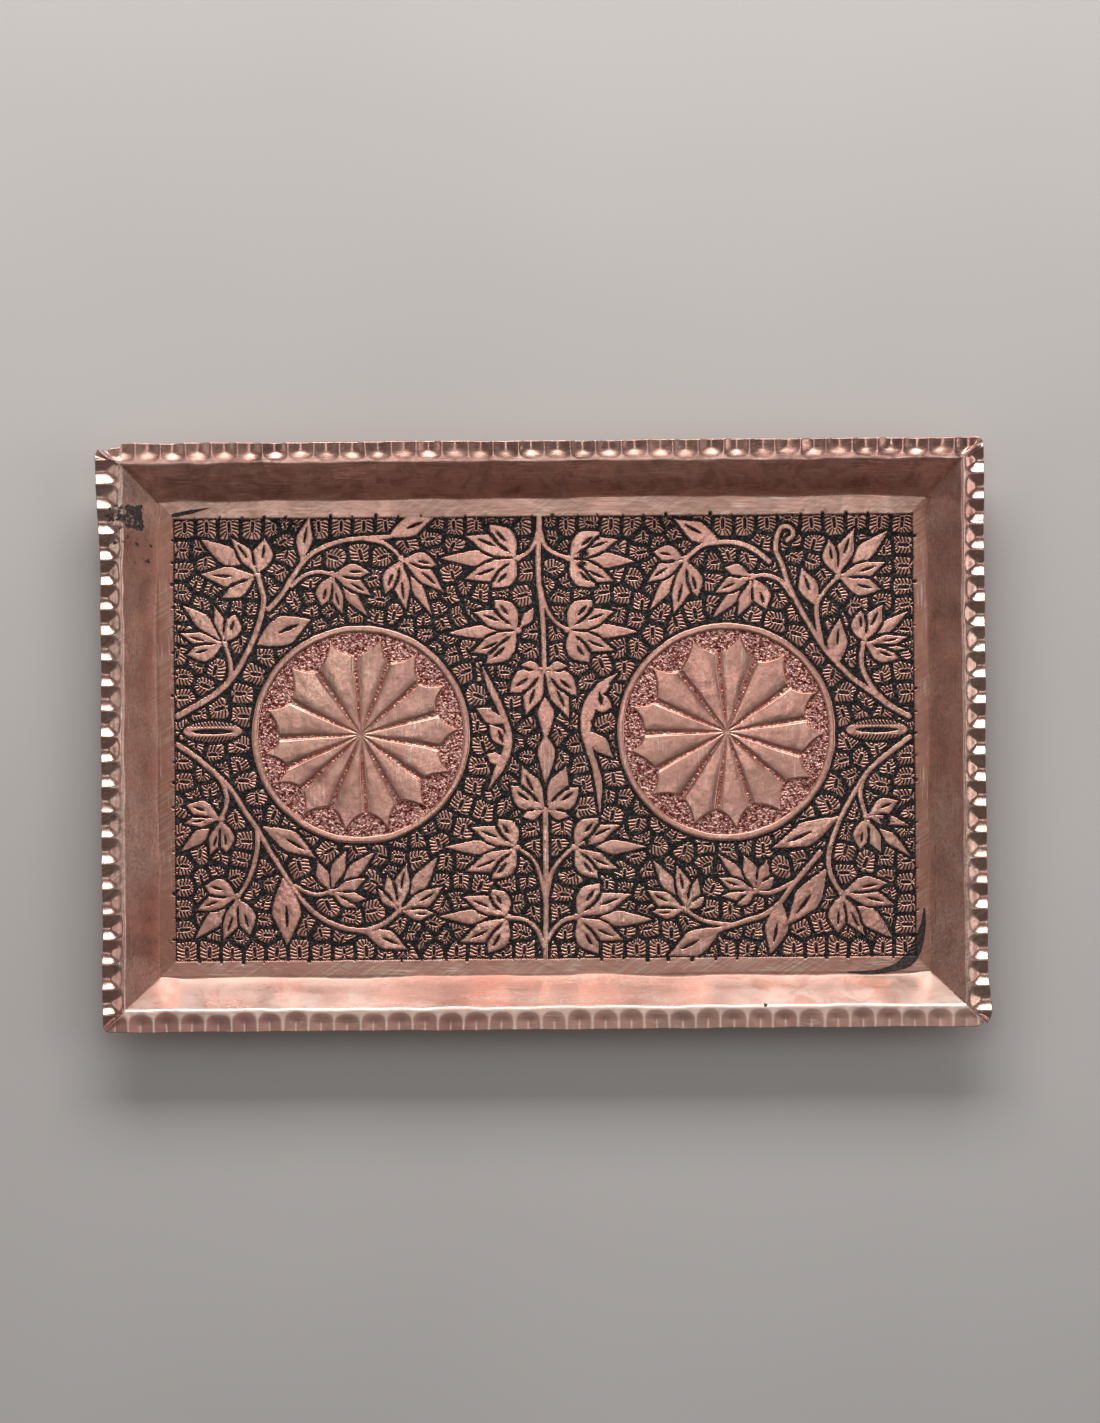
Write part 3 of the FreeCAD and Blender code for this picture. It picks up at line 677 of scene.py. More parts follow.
def medallion_heights(centre_x, star, heights, stipple, rosette):
    """Petals, stippled ground and bead of one medallion, written into the floor's heights."""
    reach = BEAD_OUTER + 1.5
    where = window(centre_x - reach, centre_x + reach, MEDALLION_Y - reach, MEDALLION_Y + reach)
    x = X[where]
    y = Y[where]
    dx = x - centre_x
    dy = y - MEDALLION_Y
    r = np.hypot(dx, dy)
    tips, grooves = np.array(star, float)
    origin = grooves[-1] - 360
    phi = (np.degrees(np.arctan2(dy, dx)) - origin + 0.7 * wobble.at(x, y, 9.0)) % 360
    starts = np.append(0, grooves[:-1] - origin)
    ends = np.append(starts[1:], 360)
    which = np.searchsorted(starts, phi, side="right") - 1
    tip = (tips - origin)[which]
    start = starts[which]
    end = ends[which]
    share = np.where(phi < tip, (phi - start) / (tip - start), (end - phi) / (end - tip))
    valley_r = PETAL_VALLEY + 1.4 * swell.at(dx, dy, 17.0)
    tip_r = PETAL_TIP + 0.5 * swell.at(dy, dx, 23.0)
    outline = valley_r + (tip_r - valley_r) * (0.5 * share + 0.5 * share ** 4)
    petal = (outline - r) * 0.8 + 0.06 * grain.at(x, y, 0.9)
    from_groove = r * np.sin(np.radians(np.minimum(phi - start, end - phi)))
    half_groove = 0.45 + 1.3 * np.clip(r / 34, 0, 1.2)
    depth = 0.36 + 0.72 * ease(r / 12)
    up_side = np.clip(from_groove / half_groove, 0, 1)
    groove = depth * (1 - 0.3 * ease(up_side) - 0.7 * up_side)
    half_petal = r * np.sin(np.radians((end - start) / 2)) + 0.5
    dome = 1 - (1 - np.clip(from_groove / half_petal / 0.7, 0, 1)) ** 2
    pillow = 0.42 * dome * ease(r / 20) + 0.14 * swell.at(x, y, 9.0) + 0.05 * wobble.at(x, y, 3.0)
    top = pillow - groove
    ground = -0.58 + 0.24 * grain.at(x, y, 0.62) + 0.12 * wobble.at(x, y, 0.4)
    rise = ease((petal + 0.15) / 1.1)
    height = ground + (np.maximum(top, ground) - ground) * rise
    wander = 0.22 * wobble.at(x, y, 5.0) + 0.10 * grain.at(x, y, 1.4)
    off_bead = np.abs(r - (BEAD_OUTER - BEAD_WIDTH / 2) + wander) / (BEAD_WIDTH / 2 + 0.18)
    bead = -0.75 + 1.0 * np.sqrt(np.clip(1 - off_bead ** 4, 0, 1))
    bead = np.where(off_bead < 1, bead, BEAD_TRENCH)
    height = np.maximum(height, bead)
    height = np.where((r > BEAD_OUTER - 0.6) & (off_bead >= 1), BEAD_TRENCH, height)
    covered = r < BEAD_OUTER + TRENCH_WIDTH
    heights[where] = np.where(covered, height, heights[where])
    loose = (bead < ground) & (petal < 0.0) & (r < BEAD_OUTER - 1)
    stipple[where] |= loose
    rosette[where] |= (r < BEAD_OUTER - BEAD_WIDTH) & ~loose
    return where, r


def medallion_distance(x, y):
    """Distance to the middle of the nearer medallion."""
    return np.hypot(np.abs(x) - MEDALLION_X, y - MEDALLION_Y)


def floor_heights():
    """Height map of the floor, and the motif that each point belongs to."""
    motifs = list(SPRAYS)
    drawing = Drawing()
    draw_leaf_work(drawing, motifs)
    edge = field_edge(X, Y)
    past_wall = np.maximum(np.abs(X) - FLOOR_X, np.abs(Y) - FLOOR_Y)
    discs = BEAD_OUTER - medallion_distance(X, Y)
    leaves = np.minimum(drawing.inside, -drawing.cut)
    free = -np.maximum(np.maximum(drawing.inside, discs), edge - LEAF_CHANNEL + EDGE_CHANNEL)
    drawing.inside = np.where(discs > -0.6, FAR, leaves)
    seeds = fill_seeds(free)
    draw_blocks(drawing, free, seeds, len(motifs))
    inside = drawing.inside + 0.13 * grain.at(X, Y, 0.7) + 0.08 * wobble.at(X, Y, 1.9)
    inside = np.maximum(inside, np.minimum(edge, -channel_ends()))
    crown = 0.05 * ease(inside / 2.0) + 0.06 * swell.at(X, Y, 4.0) + 0.04 * grain.at(X, Y, 1.6)
    heights = GROUND_LEVEL + (crown - GROUND_LEVEL) * ease((inside + 0.2) / 0.52)
    heights = np.where(edge < 0, np.maximum(heights - drawing.groove, GROUND_LEVEL), heights)
    margin = edge > 0.8
    plain = 0.05 * swell.at(X, Y, 11.0) + 0.03 * wobble.at(X, Y, 3.5)
    clear = ease((inside - 0.6) / 0.8) * 0.8
    heights = np.where(margin, heights * (1 - clear) + plain * clear, heights)
    short_side = np.abs(X) - FLOOR_X > np.abs(Y) - FLOOR_Y
    foot_x = np.where(short_side, np.sign(X) * FLOOR_X, X)
    foot_y = np.where(short_side, Y, np.sign(Y) * FLOOR_Y)
    bend = np.clip((past_wall + foot_wave(foot_x, foot_y)) / SOFT_BEND, -30, 30)
    heights += tan(WALL_ANGLE) * SOFT_BEND * np.log1p(np.exp(bend))
    heights -= 0.15 * ease((past_wall + 0.2) / 1.0)
    motif = drawing.motif.copy()
    motif[edge > -0.45] = MARGIN_MOTIF
    motif[(edge > -0.45) & short_side] = MARGIN_MOTIF + 1
    stipple = np.zeros(X.shape, bool)
    rosette = np.zeros(X.shape, bool)
    for centre, star in ((-MEDALLION_X, LEFT_ROSETTE), (MEDALLION_X, RIGHT_ROSETTE)):
        where, r = medallion_heights(centre, star, heights, stipple, rosette)
        side = 0 if centre < 0 else 1
        code = np.where(rosette[where], ROSETTE_MOTIF, BEAD_MOTIF)
        code = np.where(stipple[where], STIPPLE_MOTIF, code)
        motif[where] = np.where(r < BEAD_OUTER + TRENCH_WIDTH, code + side, motif[where])
    return heights, motif, motifs


# ---------------------------------------------------------------- mesh making


def new_mesh(name, corners, quads, uv=None, **marks):
    """A smooth-shaded object from corner points in mm and four-sided faces."""
    mesh = bpy.data.meshes.new(name)
    count = len(quads)
    mesh.vertices.add(len(corners))
    mesh.vertices.foreach_set("co", (corners * MM).astype(np.float32).ravel())
    mesh.loops.add(4 * count)
    mesh.loops.foreach_set("vertex_index", quads.astype(np.int32).ravel())
    mesh.polygons.add(count)
    mesh.polygons.foreach_set("loop_start", np.arange(0, 4 * count, 4, dtype=np.int32))
    mesh.polygons.foreach_set("use_smooth", np.ones(count, bool))
    mesh.update(calc_edges=True)
    if uv is not None:
        layer = mesh.uv_layers.new(name="OFBake")
        layer.uv.foreach_set("vector", uv[quads.ravel()].astype(np.float32).ravel())
    for label, values in marks.items():
        mark = mesh.attributes.new(label, "FLOAT", "POINT")
        mark.data.foreach_set("value", values.astype(np.float32))
    mesh.validate()
    thing = bpy.data.objects.new(name, mesh)
    bpy.context.scene.collection.objects.link(thing)
    return thing


def finish_piece(thing, material, slot, *nodes):
    thing.data.materials.append(material)
    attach(thing, "root")
    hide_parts(*nodes)
    return thing


def spill_at(x, y):
    """How deep in a spill of black each point lies, in mm; negative outside."""
    depth = np.full(x.shape, FAR)
    for spot_x, spot_y, size in SPOTS:
        depth = np.maximum(depth, size - np.hypot(x - spot_x, y - spot_y))
    for spill in SPILLS:
        path = smooth_path(spill)
        depth = stroke_depth(x, y, path[:, :2], path[:, 2], depth)
    return depth


def grid_faces(first, width):
    """Faces of a grid of points so many wide, from each cell's first corner."""
    return np.stack([first, first + 1, first + width + 1, first + width], 1)


def faces_of_cells(cells, width):
    """The points that the chosen cells use, and the cells' faces between them."""
    rows, cols = np.nonzero(cells)
    used, quads = np.unique(grid_faces(rows * width + cols, width), return_inverse=True)
    return used, quads.reshape(-1, 4)


def sheet_from_grid(name, cells, z):
    """The floor's surface over the chosen grid cells."""
    used, quads = faces_of_cells(cells, X.shape[1])
    x = X.ravel()[used].astype(float)
    y = Y.ravel()[used].astype(float)
    corners = np.stack([x, y, FLOOR_TOP + z.ravel()[used]], 1)
    low = corners[:, :2].min(0)
    size = (corners[:, :2].max(0) - low).max()
    uv = 0.01 + 0.98 * (corners[:, :2] - low) / size
    ink = np.clip(0.5 + spill_at(x, y), 0, 1)
    return new_mesh(name, corners, quads, uv, ink=ink)


def cell_max(a):
    return np.maximum(np.maximum(a[:-1, :-1], a[1:, :-1]), np.maximum(a[:-1, 1:], a[1:, 1:]))


# ---------------------------------------------------------------- materials


class Shader:
    """Short-hand for building one node material."""

    def __init__(self, name):
        self.material = bpy.data.materials.new(name)
        self.material.use_nodes = True
        self.tree = self.material.node_tree
        self.body = self.tree.nodes["Principled BSDF"]
        self.place = self.node("ShaderNodeTexCoord", {}).outputs["Object"]

    def put(self, socket, value):
        if isinstance(value, bpy.types.NodeSocket):
            self.tree.links.new(value, socket)
        else:
            socket.default_value = value

    def node(self, kind, inputs, **settings):
        made = self.tree.nodes.new(kind)
        for key, value in settings.items():
            setattr(made, key, value)
        for socket, value in inputs.items():
            self.put(made.inputs[socket], value)
        return made

    def math(self, operation, a, b=0.0, clamp=False):
        made = self.node("ShaderNodeMath", {0: a, 1: b}, operation=operation, use_clamp=clamp)
        return made.outputs[0]

    def times(self, a, b):
        return self.math("MULTIPLY", a, b)

    def plus(self, a, b):
        return self.math("ADD", a, b)

    def stretched(self, scale, turn=0.0):
        made = self.node("ShaderNodeMapping", {"Vector": self.place, "Rotation": (0, 0, turn)})
        made = self.node("ShaderNodeMapping", {"Vector": made.outputs[0], "Scale": scale})
        return made.outputs[0]

    def noise(self, scale, detail=2.0, rough=0.5, stretch=(1, 1, 1), bend=0.0, turn=0.0):
        """scale counts features per metre."""
        return self.node("ShaderNodeTexNoise", {
            "Vector": self.stretched(stretch, turn), "Scale": scale, "Detail": detail,
            "Roughness": rough, "Distortion": bend,
        }).outputs[0]

    def cells(self, scale):
        place = self.stretched((1, 1, 1))
        return self.node("ShaderNodeTexVoronoi", {"Vector": place, "Scale": scale})

    def span(self, value, low, high, to_low=0.0, to_high=1.0):
        """A smooth step from to_low, where value is low, to to_high, where it is high."""
        return self.node("ShaderNodeMapRange", {
            "Value": value, "From Min": low, "From Max": high, "To Min": to_low, "To Max": to_high,
        }, interpolation_type="SMOOTHSTEP").outputs[0]

    def blend(self, share, a, b):
        a, b = (c if isinstance(c, bpy.types.NodeSocket) else (*c, 1) for c in (a, b))
        return self.node("ShaderNodeMix", {0: share, 6: a, 7: b}, data_type="RGBA").outputs[2]

    def tint(self, share, paint):
        """Lets a share of another colour over what there is so far."""
        self.colour = self.blend(share, self.colour, paint)

    def axis(self, index):
        return self.node("ShaderNodeSeparateXYZ", {0: self.place}).outputs[index]

    def attribute(self, name):
        return self.node("ShaderNodeAttribute", {}, attribute_name=name).outputs["Fac"]

    def bump(self, height, distance, strength=1.0, onto=None):
        inputs = {"Strength": strength, "Distance": distance, "Height": height}
        if onto is not None:
            inputs["Normal"] = onto
        return self.node("ShaderNodeBump", inputs).outputs[0]

    def finish(self, colour, roughness, normal, metallic=1.0):
        self.put(self.body.inputs["Base Color"], colour)
        self.put(self.body.inputs["Roughness"], roughness)
        self.put(self.body.inputs["Metallic"], metallic)
        if normal is not None:
            self.put(self.body.inputs["Normal"], normal)
        return self.material


COPPER = (0.72, 0.42, 0.345)
ROSE = (0.70, 0.365, 0.31)
TAN = (0.74, 0.47, 0.38)
TARNISH = (0.32, 0.17, 0.13)
INK = (0.012, 0.011, 0.011)
DEEP_BLACK = (0.025, 0.017, 0.015)
# a darker copper: painted shade on the short margins and the front of the long margin, a darker
# tone on the floor and rosettes
DARK_TONE_AND_SHADE = (0.12, 0.06, 0.045)
RED_PATCH = (0.66, 0.27, 0.22)
# paler patches on the walls, partly painted highlight
CREAM_AND_HIGHLIGHT = (0.95, 0.84, 0.75)
# painted highlight towards the ends of the front wall
PAINTED_END_HIGHLIGHT = (0.98, 0.93, 0.87)
# painted light that lightens the walls
PAINTED_WALL_LIGHT = (0.82, 0.64, 0.57)
# painted shade on the back rim
PAINTED_RIM_SHADE = (0.30, 0.15, 0.11)
# painted highlight on the rim's ridges and down its flutes' middles, partly wear on the ridges
WEAR_AND_HIGHLIGHT_TINT = (1.0, 0.76, 0.65)
WARM_RED = (0.70, 0.28, 0.18)
MURK = (0.20, 0.10, 0.075)
BRUSH_MARK = (0.92, 0.74, 0.62)
# painted light on the back of the long margin
PAINTED_BACK_LIGHT = (0.92, 0.62, 0.50)
SCRATCH = (0.95, 0.80, 0.70)


SPECK_SHARE = 0.01            # of the cells hold a speck


def specks(shader):
    """Tiny dots of dried black, as a mask."""
    dots = shader.cells(210)
    picked = shader.span(dots.outputs["Color"], 1 - SPECK_SHARE, 1 - SPECK_SHARE * 0.9)
    small = shader.span(dots.outputs["Distance"], 0.10, 0.22, 1.0, 0.0)
    return shader.times(picked, small)


def copper(name, grain_along, rough, across=None, deep=None, deep_tint=DEEP_BLACK, shade=1.0,
           warm=0.0, mottle=0.0, cloudy=0.0, brushed=0.0, painted_wall_light=0.0, painted_end_highlight=0.0, painted_front_shade_back_light=0.0,
           painted_rim_shade=0.0, rim_rough=-0.10, worn=0.0):
    """Hand-worked copper. grain_along stretches the brushing and across is the way its gloss
    spreads. deep is a height: what lies below it gets deep_tint. shade under 1 darkens the sheet
    towards DARK_TONE_AND_SHADE, painted shade on the short margins and a darker tone on the floor
    and rosettes, and warm reddens it. mottle lets redder patches and paler ones through, the paler
    ones partly painted highlight; cloudy and brushed add dark clouds and slanting brush marks.
    painted_wall_light lightens the wall with painted light, and painted_end_highlight paints
    highlight only towards its ends. painted_front_shade_back_light paints shade on the front and
    light on the back. painted_rim_shade darkens the rim with painted shade, rim_rough makes it
    that much rougher than the rest, and worn brightens the ridges between its
    flutes, partly wear and partly painted highlight, and paints a highlight down each flute's
    middle."""
    s = Shader(name)
    rim = s.attribute("rim")
    wall = s.math("SUBTRACT", 1.0, rim)
    blotch = s.noise(28, 3, 0.6)
    cloud = s.noise(9, 2, 0.5, bend=0.4)
    s.colour = s.blend(s.span(cloud, 0.35, 0.65), ROSE, TAN)
    s.tint(s.span(blotch, 0.3, 0.7), COPPER)
    # darkens the sheet: painted shade on the short margins, a darker tone of the copper on the
    # floor and rosettes
    s.tint(1 - shade, DARK_TONE_AND_SHADE)
    fine = s.noise(900, 2, 0.6, stretch=grain_along)
    s.tint(s.span(fine, 0.35, 0.75, 0.0, 0.28), TARNISH)
    s.tint(s.times(s.span(s.noise(60, 4, 0.65), 0.56, 0.72), 0.3), TARNISH)
    # the paler patches are partly painted highlight, the redder ones the copper's own tone
    if mottle:
        patch = s.noise(70, 5, 0.65, stretch=grain_along, bend=0.6)
        sparkle = s.noise(650, 2, 0.7)
        patch = s.plus(s.times(patch, 0.65), s.times(sparkle, 0.35))
        s.tint(s.times(wall, s.span(patch, 0.49, 0.60, 0.0, mottle)), RED_PATCH)
        s.tint(s.times(wall, s.span(patch, 0.38, 0.50, mottle, 0.0)), CREAM_AND_HIGHLIGHT)
    # painted highlight towards the wall's ends
    if painted_end_highlight:
        ends = s.span(s.math("ABSOLUTE", s.axis(0)), 0.03, 0.11)
        ends = s.times(ends, s.span(s.noise(50, 3, 0.6, bend=1.0), 0.42, 0.60, painted_end_highlight, 0.25))
        s.tint(s.times(wall, ends), PAINTED_END_HIGHLIGHT)
    # painted light over the wall
    if painted_wall_light:
        s.tint(s.times(wall, painted_wall_light), PAINTED_WALL_LIGHT)
    # painted shade over the rim
    if painted_rim_shade:
        s.tint(s.times(rim, painted_rim_shade), PAINTED_RIM_SHADE)
    # painted highlight on the ridges between the flutes, partly wear, and down each flute's middle
    if worn:
        s.tint(s.times(s.attribute("worn"), worn), WEAR_AND_HIGHLIGHT_TINT)
    s.tint(warm, WARM_RED)
    if cloudy:
        s.tint(s.span(s.noise(70, 5, 0.7, bend=1.2), 0.42, 0.64, 0.0, cloudy), MURK)
    if brushed:
        slant = s.noise(900, 2, 0.6, stretch=(0.07, 1, 1), turn=radians(-32))
        slant = s.times(s.span(slant, 0.44, 0.60), s.span(s.noise(30, 3, 0.6), 0.38, 0.60))
        s.tint(s.times(slant, brushed), BRUSH_MARK)
        back_slant = s.noise(800, 2, 0.6, stretch=(0.07, 1, 1), turn=radians(24))
        s.tint(s.span(back_slant, 0.50, 0.66, 0.0, 0.6 * brushed), TARNISH)
    # painted shade at the front of the sheet and painted light at its back
    if painted_front_shade_back_light:
        s.tint(s.span(s.axis(1), -0.03, 0.03, painted_front_shade_back_light, 0.0), DARK_TONE_AND_SHADE)
        s.tint(s.span(s.axis(1), -0.03, 0.03, 0.0, painted_front_shade_back_light), PAINTED_BACK_LIGHT)
    scratch_along = (0.05, 1, 1) if grain_along[0] < 1 else (1, 0.05, 1)
    lines = s.noise(1500, 1, 0.5, stretch=scratch_along, bend=0.3)
    patchy = s.span(s.noise(40, 3, 0.6), 0.42, 0.60)
    s.tint(s.times(s.span(lines, 0.60, 0.70, 0.0, 0.5), patchy), SCRATCH)
    if deep is not None:
        s.tint(s.span(s.axis(2), deep - 0.00014, deep, 0.92, 0.0), deep_tint)
    ink = s.plus(s.attribute("ink"), s.times(s.noise(420, 4, 0.75), 0.9))
    ink = s.span(ink, 0.98, 1.06)
    ink = s.times(ink, s.span(s.noise(1200, 2, 0.7), 0.40, 0.52, 0.85, 1.0))
    black = s.math("MAXIMUM", ink, specks(s))
    s.tint(black, INK)
    roughness = s.plus(s.span(blotch, 0.25, 0.75, rough - 0.07, rough + 0.08),
                       s.span(fine, 0.3, 0.7, -0.03, 0.05))
    roughness = s.plus(roughness, s.times(black, 0.2))
    roughness = s.math("ADD", roughness, s.times(rim, rim_rough), clamp=True)
    normal = s.bump(fine, 0.00006, 0.5)
    normal = s.bump(s.noise(260, 3, 0.55), 0.00016, 0.6, normal)
    metallic = s.span(black, 0.0, 1.0, 1.0, 0.0)
    s.put(s.body.inputs["Coat Weight"], 0.12)
    s.put(s.body.inputs["Coat Roughness"], 0.35)
    if across is not None:
        way = s.node("ShaderNodeCombineXYZ", {0: across[0], 1: across[1]})
        s.put(s.body.inputs["Tangent"], way.outputs[0])
        s.put(s.body.inputs["Anisotropic"], 0.6)
    return s.finish(s.colour, roughness, normal, metallic)


def stippled_copper():
    """Ground between the petals: matted with a small punch, left red."""
    s = Shader("stippled_copper")
    dots = s.cells(1250)
    dark = s.span(s.noise(850, 2, 0.7), 0.42, 0.58)
    colour = s.blend(dark, (0.20, 0.04, 0.035), (0.86, 0.50, 0.43))
    normal = s.bump(dots.outputs["Distance"], 0.0003, 0.9)
    normal = s.bump(s.noise(1500, 3, 0.7), 0.0003, 0.9, normal)
    return s.finish(colour, s.span(dark, 0, 1, 0.55, 0.35), normal)


def lac():
    """Black lac rubbed into the punched ground."""
    s = Shader("black_lac")
    dots = s.cells(1100)
    # lighter grey where this noise is high: the lac's grain, partly painted glint on its punched
    # dots
    shade = s.span(s.noise(560, 3, 0.75), 0.50, 0.64)
    colour = s.blend(shade, (0.004, 0.004, 0.004), (0.055, 0.052, 0.054))
    rubbed = s.span(s.noise(700, 2, 0.6), 0.62, 0.70, 0.0, 0.5)
    colour = s.blend(rubbed, colour, (0.19, 0.16, 0.15))
    normal = s.bump(dots.outputs["Distance"], 0.00035, 0.9)
    normal = s.bump(s.noise(1300, 2, 0.6), 0.0002, 0.7, normal)
    s.put(s.body.inputs["Specular IOR Level"], 0.3)
    return s.finish(colour, s.span(shade, 0, 1, 0.6, 0.45), normal, 0.0)


def solder():
    s = Shader("solder")
    tint = s.span(s.noise(300, 3, 0.6), 0.35, 0.65)
    colour = s.blend(tint, (0.50, 0.30, 0.23), (0.62, 0.45, 0.37))
    normal = s.bump(s.noise(700, 3, 0.6), 0.0001, 0.7)
    return s.finish(colour, s.span(tint, 0, 1, 0.30, 0.48), normal)


# ---------------------------------------------------------------- border strips

WALL_ANGLE = atan2(RIM_TOP - FLOOR_TOP, WALL_RUN)
FOOT_BEND = -(FLOOR_TOP - SHEET) / tan(WALL_ANGLE)
FOOT_START = FOOT_BEND - 8.0
CREST_ROUND = 2.0
MITRE_BACK = 0.1
CORNER_RADIUS = 3.0
BACK_LEFT_RADIUS = 6.5
FRONT_RIGHT_RADIUS = 7.0
CORNER_STEP = 1.8
ALONG_STEP = 0.4              # between grid lines along a strip
FLUTE_HALF = 5.3
FLUTE_SQUARE = 2.6            # a flute's outline: 2 is round, more is squarer
RIDGE_WEAR_AND_HIGHLIGHT = 0.13             # share of a flute's depth down to which its ridge is painted bright, partly wear and partly painted highlight
CREASE_HALF = 0.55            # half width of the painted highlight down the middle of a flute
RIDGE_SOFT = 0.17             # how much the ridges between flutes are rounded over
SCOOP_START = 15.7
SCOOP_RAMP = 5.5

# How far a rim widens, how far from its end that starts, and over what length
FLARES = {"right": (1.6, 26, 20), "left": (1.8, 60, 50)}

# name, quarter turns from the front, pitch of the flutes, place of one of them along the side,
# their depth, and how flat-bottomed they are
SIDES = (
    ("front", 0, 11.09, 3.4, 1.35, 1.15),
    ("right", 1, 11.05, -4.6, 2.4, 1.6),
    ("back", 2, 11.05, 4.2, 1.5, 1.4),
    ("left", 3, 10.92, 5.0, 2.4, 1.6),
)


def section():
    """Outline of the strip's upper face from foot to rim edge: distance out and height."""
    foot = [(FOOT_START, SHEET), (FOOT_BEND - 2.0, SHEET), (FOOT_BEND - 0.6, SHEET)]
    foot += [(FOOT_BEND - 0.05, SHEET + 0.18)]
    wall_u = np.linspace(FOOT_BEND + 0.45, WALL_RUN - 1.0, 15)
    wall = [(u, FLOOR_TOP + u * tan(WALL_ANGLE)) for u in wall_u]
    crest = []
    for t in np.linspace(0.12, 1, 7):
        angle = WALL_ANGLE * (1 - t)
        crest.append((WALL_RUN + 1.0 - CREST_ROUND * sin(angle) * 1.05,
                      RIM_TOP - CREST_ROUND * (1 - cos(angle))))
    rim = [(u, RIM_TOP) for u in np.linspace(WALL_RUN + 1.3, BORDER, 22)]
    return np.array(foot + wall + crest + rim)


def flute_drop(s, u, length, pitch, phase, deepest, curve, salt):
    """How far the hammer has driven the rim down at each point, and where it is painted bright:
    its ridges, partly wear and partly painted highlight, and a painted highlight down each flute's
    middle.
    """
    drop = np.zeros(s.shape)
    hollow = np.zeros(s.shape)
    centre = np.zeros(s.shape)
    dice = np.random.default_rng(SEED + salt)
    count = int(length / 2 / pitch) + 2
    for i in range(-count, count + 1):
        at = phase + i * pitch + dice.uniform(-0.25, 0.25)
        half = FLUTE_HALF * dice.uniform(0.96, 1.05)
        depth = deepest * dice.uniform(0.85, 1.12)
        inner = SCOOP_START + dice.uniform(-0.5, 0.5) + half
        slant = dice.uniform(-0.05, 0.05)
        across = s - at - slant * (u - inner)
        back = np.minimum(u - inner, 0)
        r = squarish(across, back * 1.1, FLUTE_SQUARE) / half
        ramp = 0.45 + 0.55 * ease((u - SCOOP_START) / SCOOP_RAMP)
        bowl = 1 - np.minimum(r, 3) ** curve
        drop = np.maximum(drop, depth * ramp * (bowl + np.hypot(bowl, RIDGE_SOFT)) / 2)
        hollow = np.maximum(hollow, bowl)
        centre = np.maximum(centre, 1 - np.abs(across) / CREASE_HALF)
    # ridges: partly wear, partly painted highlight; crease: a painted highlight down the middle of
    # each flute
    ridge = 1 - ease(hollow / RIDGE_WEAR_AND_HIGHLIGHT)
    crease = ease(centre) * ease((u - SCOOP_START - 3.2) / 1.5)
    return drop, np.maximum(ridge, crease) * ease((u - WALL_RUN) / 1.0)


def border_strip(name, turns, pitch, phase, deepest, curve, salt):
    """Upper face as a grid, thickened downwards, then closed round its four edges."""
    long_side = turns % 2 == 0
    length = 2 * (HALF_LENGTH if long_side else HALF_WIDTH)
    half_floor = FLOOR_X if long_side else FLOOR_Y
    foot_line = FLOOR_Y if long_side else FLOOR_X
    outline = section()
    across = len(outline)
    along = int(length / ALONG_STEP)
    a = np.linspace(-1, 1, along)
    u = np.tile(outline[:, 0], (along, 1))
    z = np.tile(outline[:, 1], (along, 1))
    reach = half_floor + u - MITRE_BACK
    s = a[:, None] * reach
    to_mitre = reach - np.abs(s)
    fade = ease(to_mitre / 2.5)
    on_wall = ease((u - 0.5) / 3.0)
    on_rim = ease((u - WALL_RUN) / 1.5)
    noise_s = s + 400 * salt
    lift = 0.22 * swell.at(noise_s, u, 21.0) + 0.10 * wobble.at(noise_s, u, 7.0)
    lift += 0.05 * grain.at(noise_s, u, 2.6)
    z = z + lift * on_wall * fade
    drop, worn = flute_drop(s, u, length, pitch, phase, deepest, curve, salt)
    z = z - drop * on_rim * fade
    on_edge = ease((u - 17) / 7) * fade
    on_crest = ease(1 - np.abs(u - WALL_RUN) / 5) * fade
    outward = 0.30 * swell.at(noise_s, 0 * u + 3.3, 14.0) * on_edge
    outward += 0.35 * wobble.at(noise_s, 0 * u + 9.1, 9.0) * on_crest
    foot = turn_plan(np.stack([s, 0 * s - foot_line, z], -1), turns)
    wander = foot_wave(foot[..., 0], foot[..., 1]) * (u > FOOT_BEND) * (1 - ease(u / 9))
    u = u + outward - wander * ease(to_mitre / 12)
    u = u + rim_flare(name, s, u, half_floor)
    top = turn_plan(np.stack([s, -(foot_line + u), z], -1), turns)
    top = round_corners(top)
    normal = np.cross(np.gradient(top, axis=0), np.gradient(top, axis=1))
    normal /= np.linalg.norm(normal, axis=-1, keepdims=True)
    normal *= np.sign(normal[along // 2, across // 2, 2])
    under = top - normal * SHEET
    corners = np.concatenate([top.reshape(-1, 3), under.reshape(-1, 3)])
    quads = closed_sheet_quads(along, across)
    uv = strip_uv(along, outline)
    ink = wall_ink(name, corners)
    rim = ease((np.tile(outline[:, 0], 2 * along) - WALL_RUN) / 1.5)
    # painted highlight on the ridges and flute middles, partly wear, for the rim's colour
    worn = np.tile(worn.ravel(), 2)
    return new_mesh("border_" + name, corners, quads, uv, ink=ink, rim=rim, worn=worn)


def rim_flare(name, s, u, half_floor):
    """The right rim widens towards its front end, and the left one towards its back end."""
    if name not in FLARES:
        return 0.0
    widest, start, run = FLARES[name]
    past_start = -s - (half_floor + BORDER - start)
    return widest * ease(past_start / run) * ease((u - WALL_RUN - 3) / 6)


